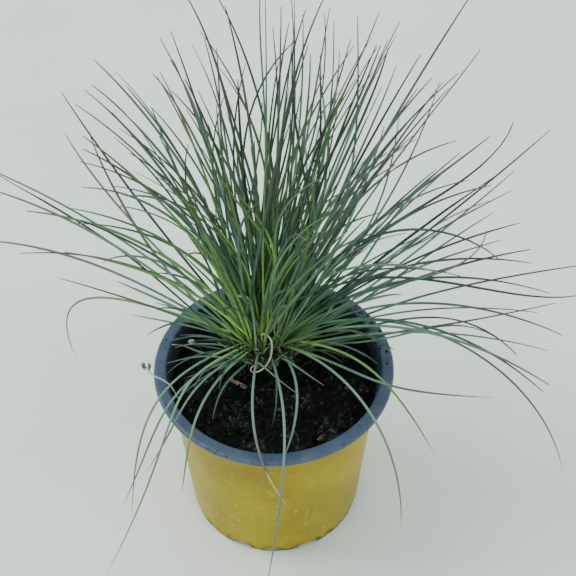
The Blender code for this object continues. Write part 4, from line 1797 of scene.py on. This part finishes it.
@dataclass(frozen=True)
class PerliteGrain:
    """The white grain: a ball with a rough pitted skin."""

    node: str = "perlite_grain"

    def build(self) -> None:
        """Make the grain from its node's box, with pits from a sum of waves over its skin."""
        low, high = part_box(self.node)
        centre, half = np.array((low + high) / 2.0), np.array((high - low) / 2.0)
        polar = np.radians(np.linspace(6.0, 174.0, 22))
        profile = np.stack((np.sin(polar), np.cos(polar)), axis=1)
        profile = np.concatenate(([[0.0, 1.0]], profile, [[0.0, -1.0]]))
        surface = turned(profile, 30, np.zeros(len(profile) - 3, int))
        x, y, z = surface.points.T
        pits = Ripples(1.1, 0.3, 26, 8).height(x + z, y)
        surface.points = surface.points * (0.95 + 0.10 * pits)[:, None] * half + centre
        finish = GrainFinish("perlite_chalk", (0.62, 0.60, 0.54, 1.0), (0.30, 0.28, 0.24, 1.0), 900.0)
        piece = surface.make("perlite_grain_pitted", [finish.material()])
        settle(piece, [self.node])


# ---------------------------------------------------------------------------------------------------
# Studio
# ---------------------------------------------------------------------------------------------------


@dataclass(frozen=True)
class Studio:
    """The floor, soft light and camera round the plant.

    Attributes:
        camera_place: Where the camera stands.
        camera_pitch: How far it looks down, in degrees.
        camera_turn: How far it turns to the right, in degrees.
        lens: Focal length in millimetres on a 36 mm sensor.
        floor_size: Side of the floor.
        floor_colour: The floor's colour.
        lights: Each area light's name, place, side and power in watts.
        aim: The point that the lights face.
        sky_colour: Colour of the light from all round.
        sky_strength: Its strength.
    """

    camera_place: Point = (0.0, -0.3122, 0.4690)
    camera_pitch: float = 46.66
    camera_turn: float = 1.13
    lens: float = 70.0
    floor_size: float = 8.0
    floor_colour: Colour = (0.80, 0.885, 0.795, 1.0)
    lights: tuple[tuple[str, Point, float, float], ...] = (
        ("key", (-2.6, 0.6, 3.4), 2.0, 105.0),
        ("fill", (1.6, -1.2, 1.8), 2.0, 6.0),
    )
    aim: Point = (0.0, 0.0, 0.08)
    sky_colour: Colour = (0.90, 0.96, 1.0, 1.0)
    sky_strength: float = 1.18

    def floor(self) -> None:
        """A wide plain floor at the pot's foot, faintly mottled."""
        bpy.ops.mesh.primitive_plane_add(size=self.floor_size)
        floor = bpy.context.object
        floor.name = "floor"
        graph = Graph("pale_floor", 0.7)
        mottle = graph.ramp(graph.noise(graph.place(), 9.0, 3.0), 0.3, 0.7)
        darker = tuple(0.94 * part for part in self.floor_colour[:3]) + (1.0,)
        floor.data.materials.append(graph.dress(graph.blend(mottle, self.floor_colour, darker)))

    def light(self, name: str, place: Point, size: float, power: float) -> None:
        """An area light that faces the plant.

        Args:
            name: Its name.
            place: Where it hangs.
            size: Its side.
            power: Its power in watts.
        """
        data = bpy.data.lights.new(name, "AREA")
        data.shape = "SQUARE"
        data.size = size
        data.energy = power
        lamp = add_to_scene(name, data)
        lamp.location = place
        lamp.rotation_euler = (Vector(self.aim) - Vector(place)).to_track_quat("-Z", "Y").to_euler()

    def camera(self) -> None:
        """The camera, looking down on the plant from the front."""
        data = bpy.data.cameras.new("camera")
        data.lens = self.lens
        data.sensor_width = 36.0
        data.clip_start = 0.01
        camera = add_to_scene("camera", data)
        camera.location = self.camera_place
        pitch = math.radians(90.0 - self.camera_pitch)
        camera.rotation_euler = (pitch, 0.0, -math.radians(self.camera_turn))
        bpy.context.scene.camera = camera

    def build(self) -> None:
        """Make the whole studio."""
        self.floor()
        for row in self.lights:
            self.light(*row)
        world = bpy.data.worlds.new("soft_white")
        world.use_nodes = True
        background = world.node_tree.nodes["Background"]
        background.inputs["Color"].default_value = self.sky_colour
        background.inputs["Strength"].default_value = self.sky_strength
        bpy.context.scene.world = world
        self.camera()


def main() -> None:
    """Build the studio and every piece, from the pot up."""
    logging.basicConfig(level=logging.INFO, format="%(name)s: %(message)s")
    Studio().build()
    pot = NurseryPot()
    pot.build()
    PottingMix(pot).build()
    crown = Crown()
    crown.build()
    FescueClump(crown).build()
    DryLeaf().build()
    BentLeaf().build()
    WeedSeedling().build()
    along_grain = (0.35, 1.0, 1.0)
    bark = GrainFinish("split_bark", (0.33, 0.245, 0.165, 1.0), (0.06, 0.042, 0.03, 1.0), 520.0, along_grain)
    dull = GrainFinish("dull_bark", (0.15, 0.105, 0.065, 1.0), (0.04, 0.028, 0.018, 1.0), 520.0, along_grain)
    LooseChip("bark_chip_1", -30.0, 10.0 * MM, 2.0 * MM, 1.3 * MM, 3).build(bark.material())
    LooseChip("bark_chip_2", 35.0, 3.4 * MM, 1.2 * MM, 0.9 * MM, 6).build(dull.material())
    PerliteGrain().build()


if __name__ == "__main__":
    main()
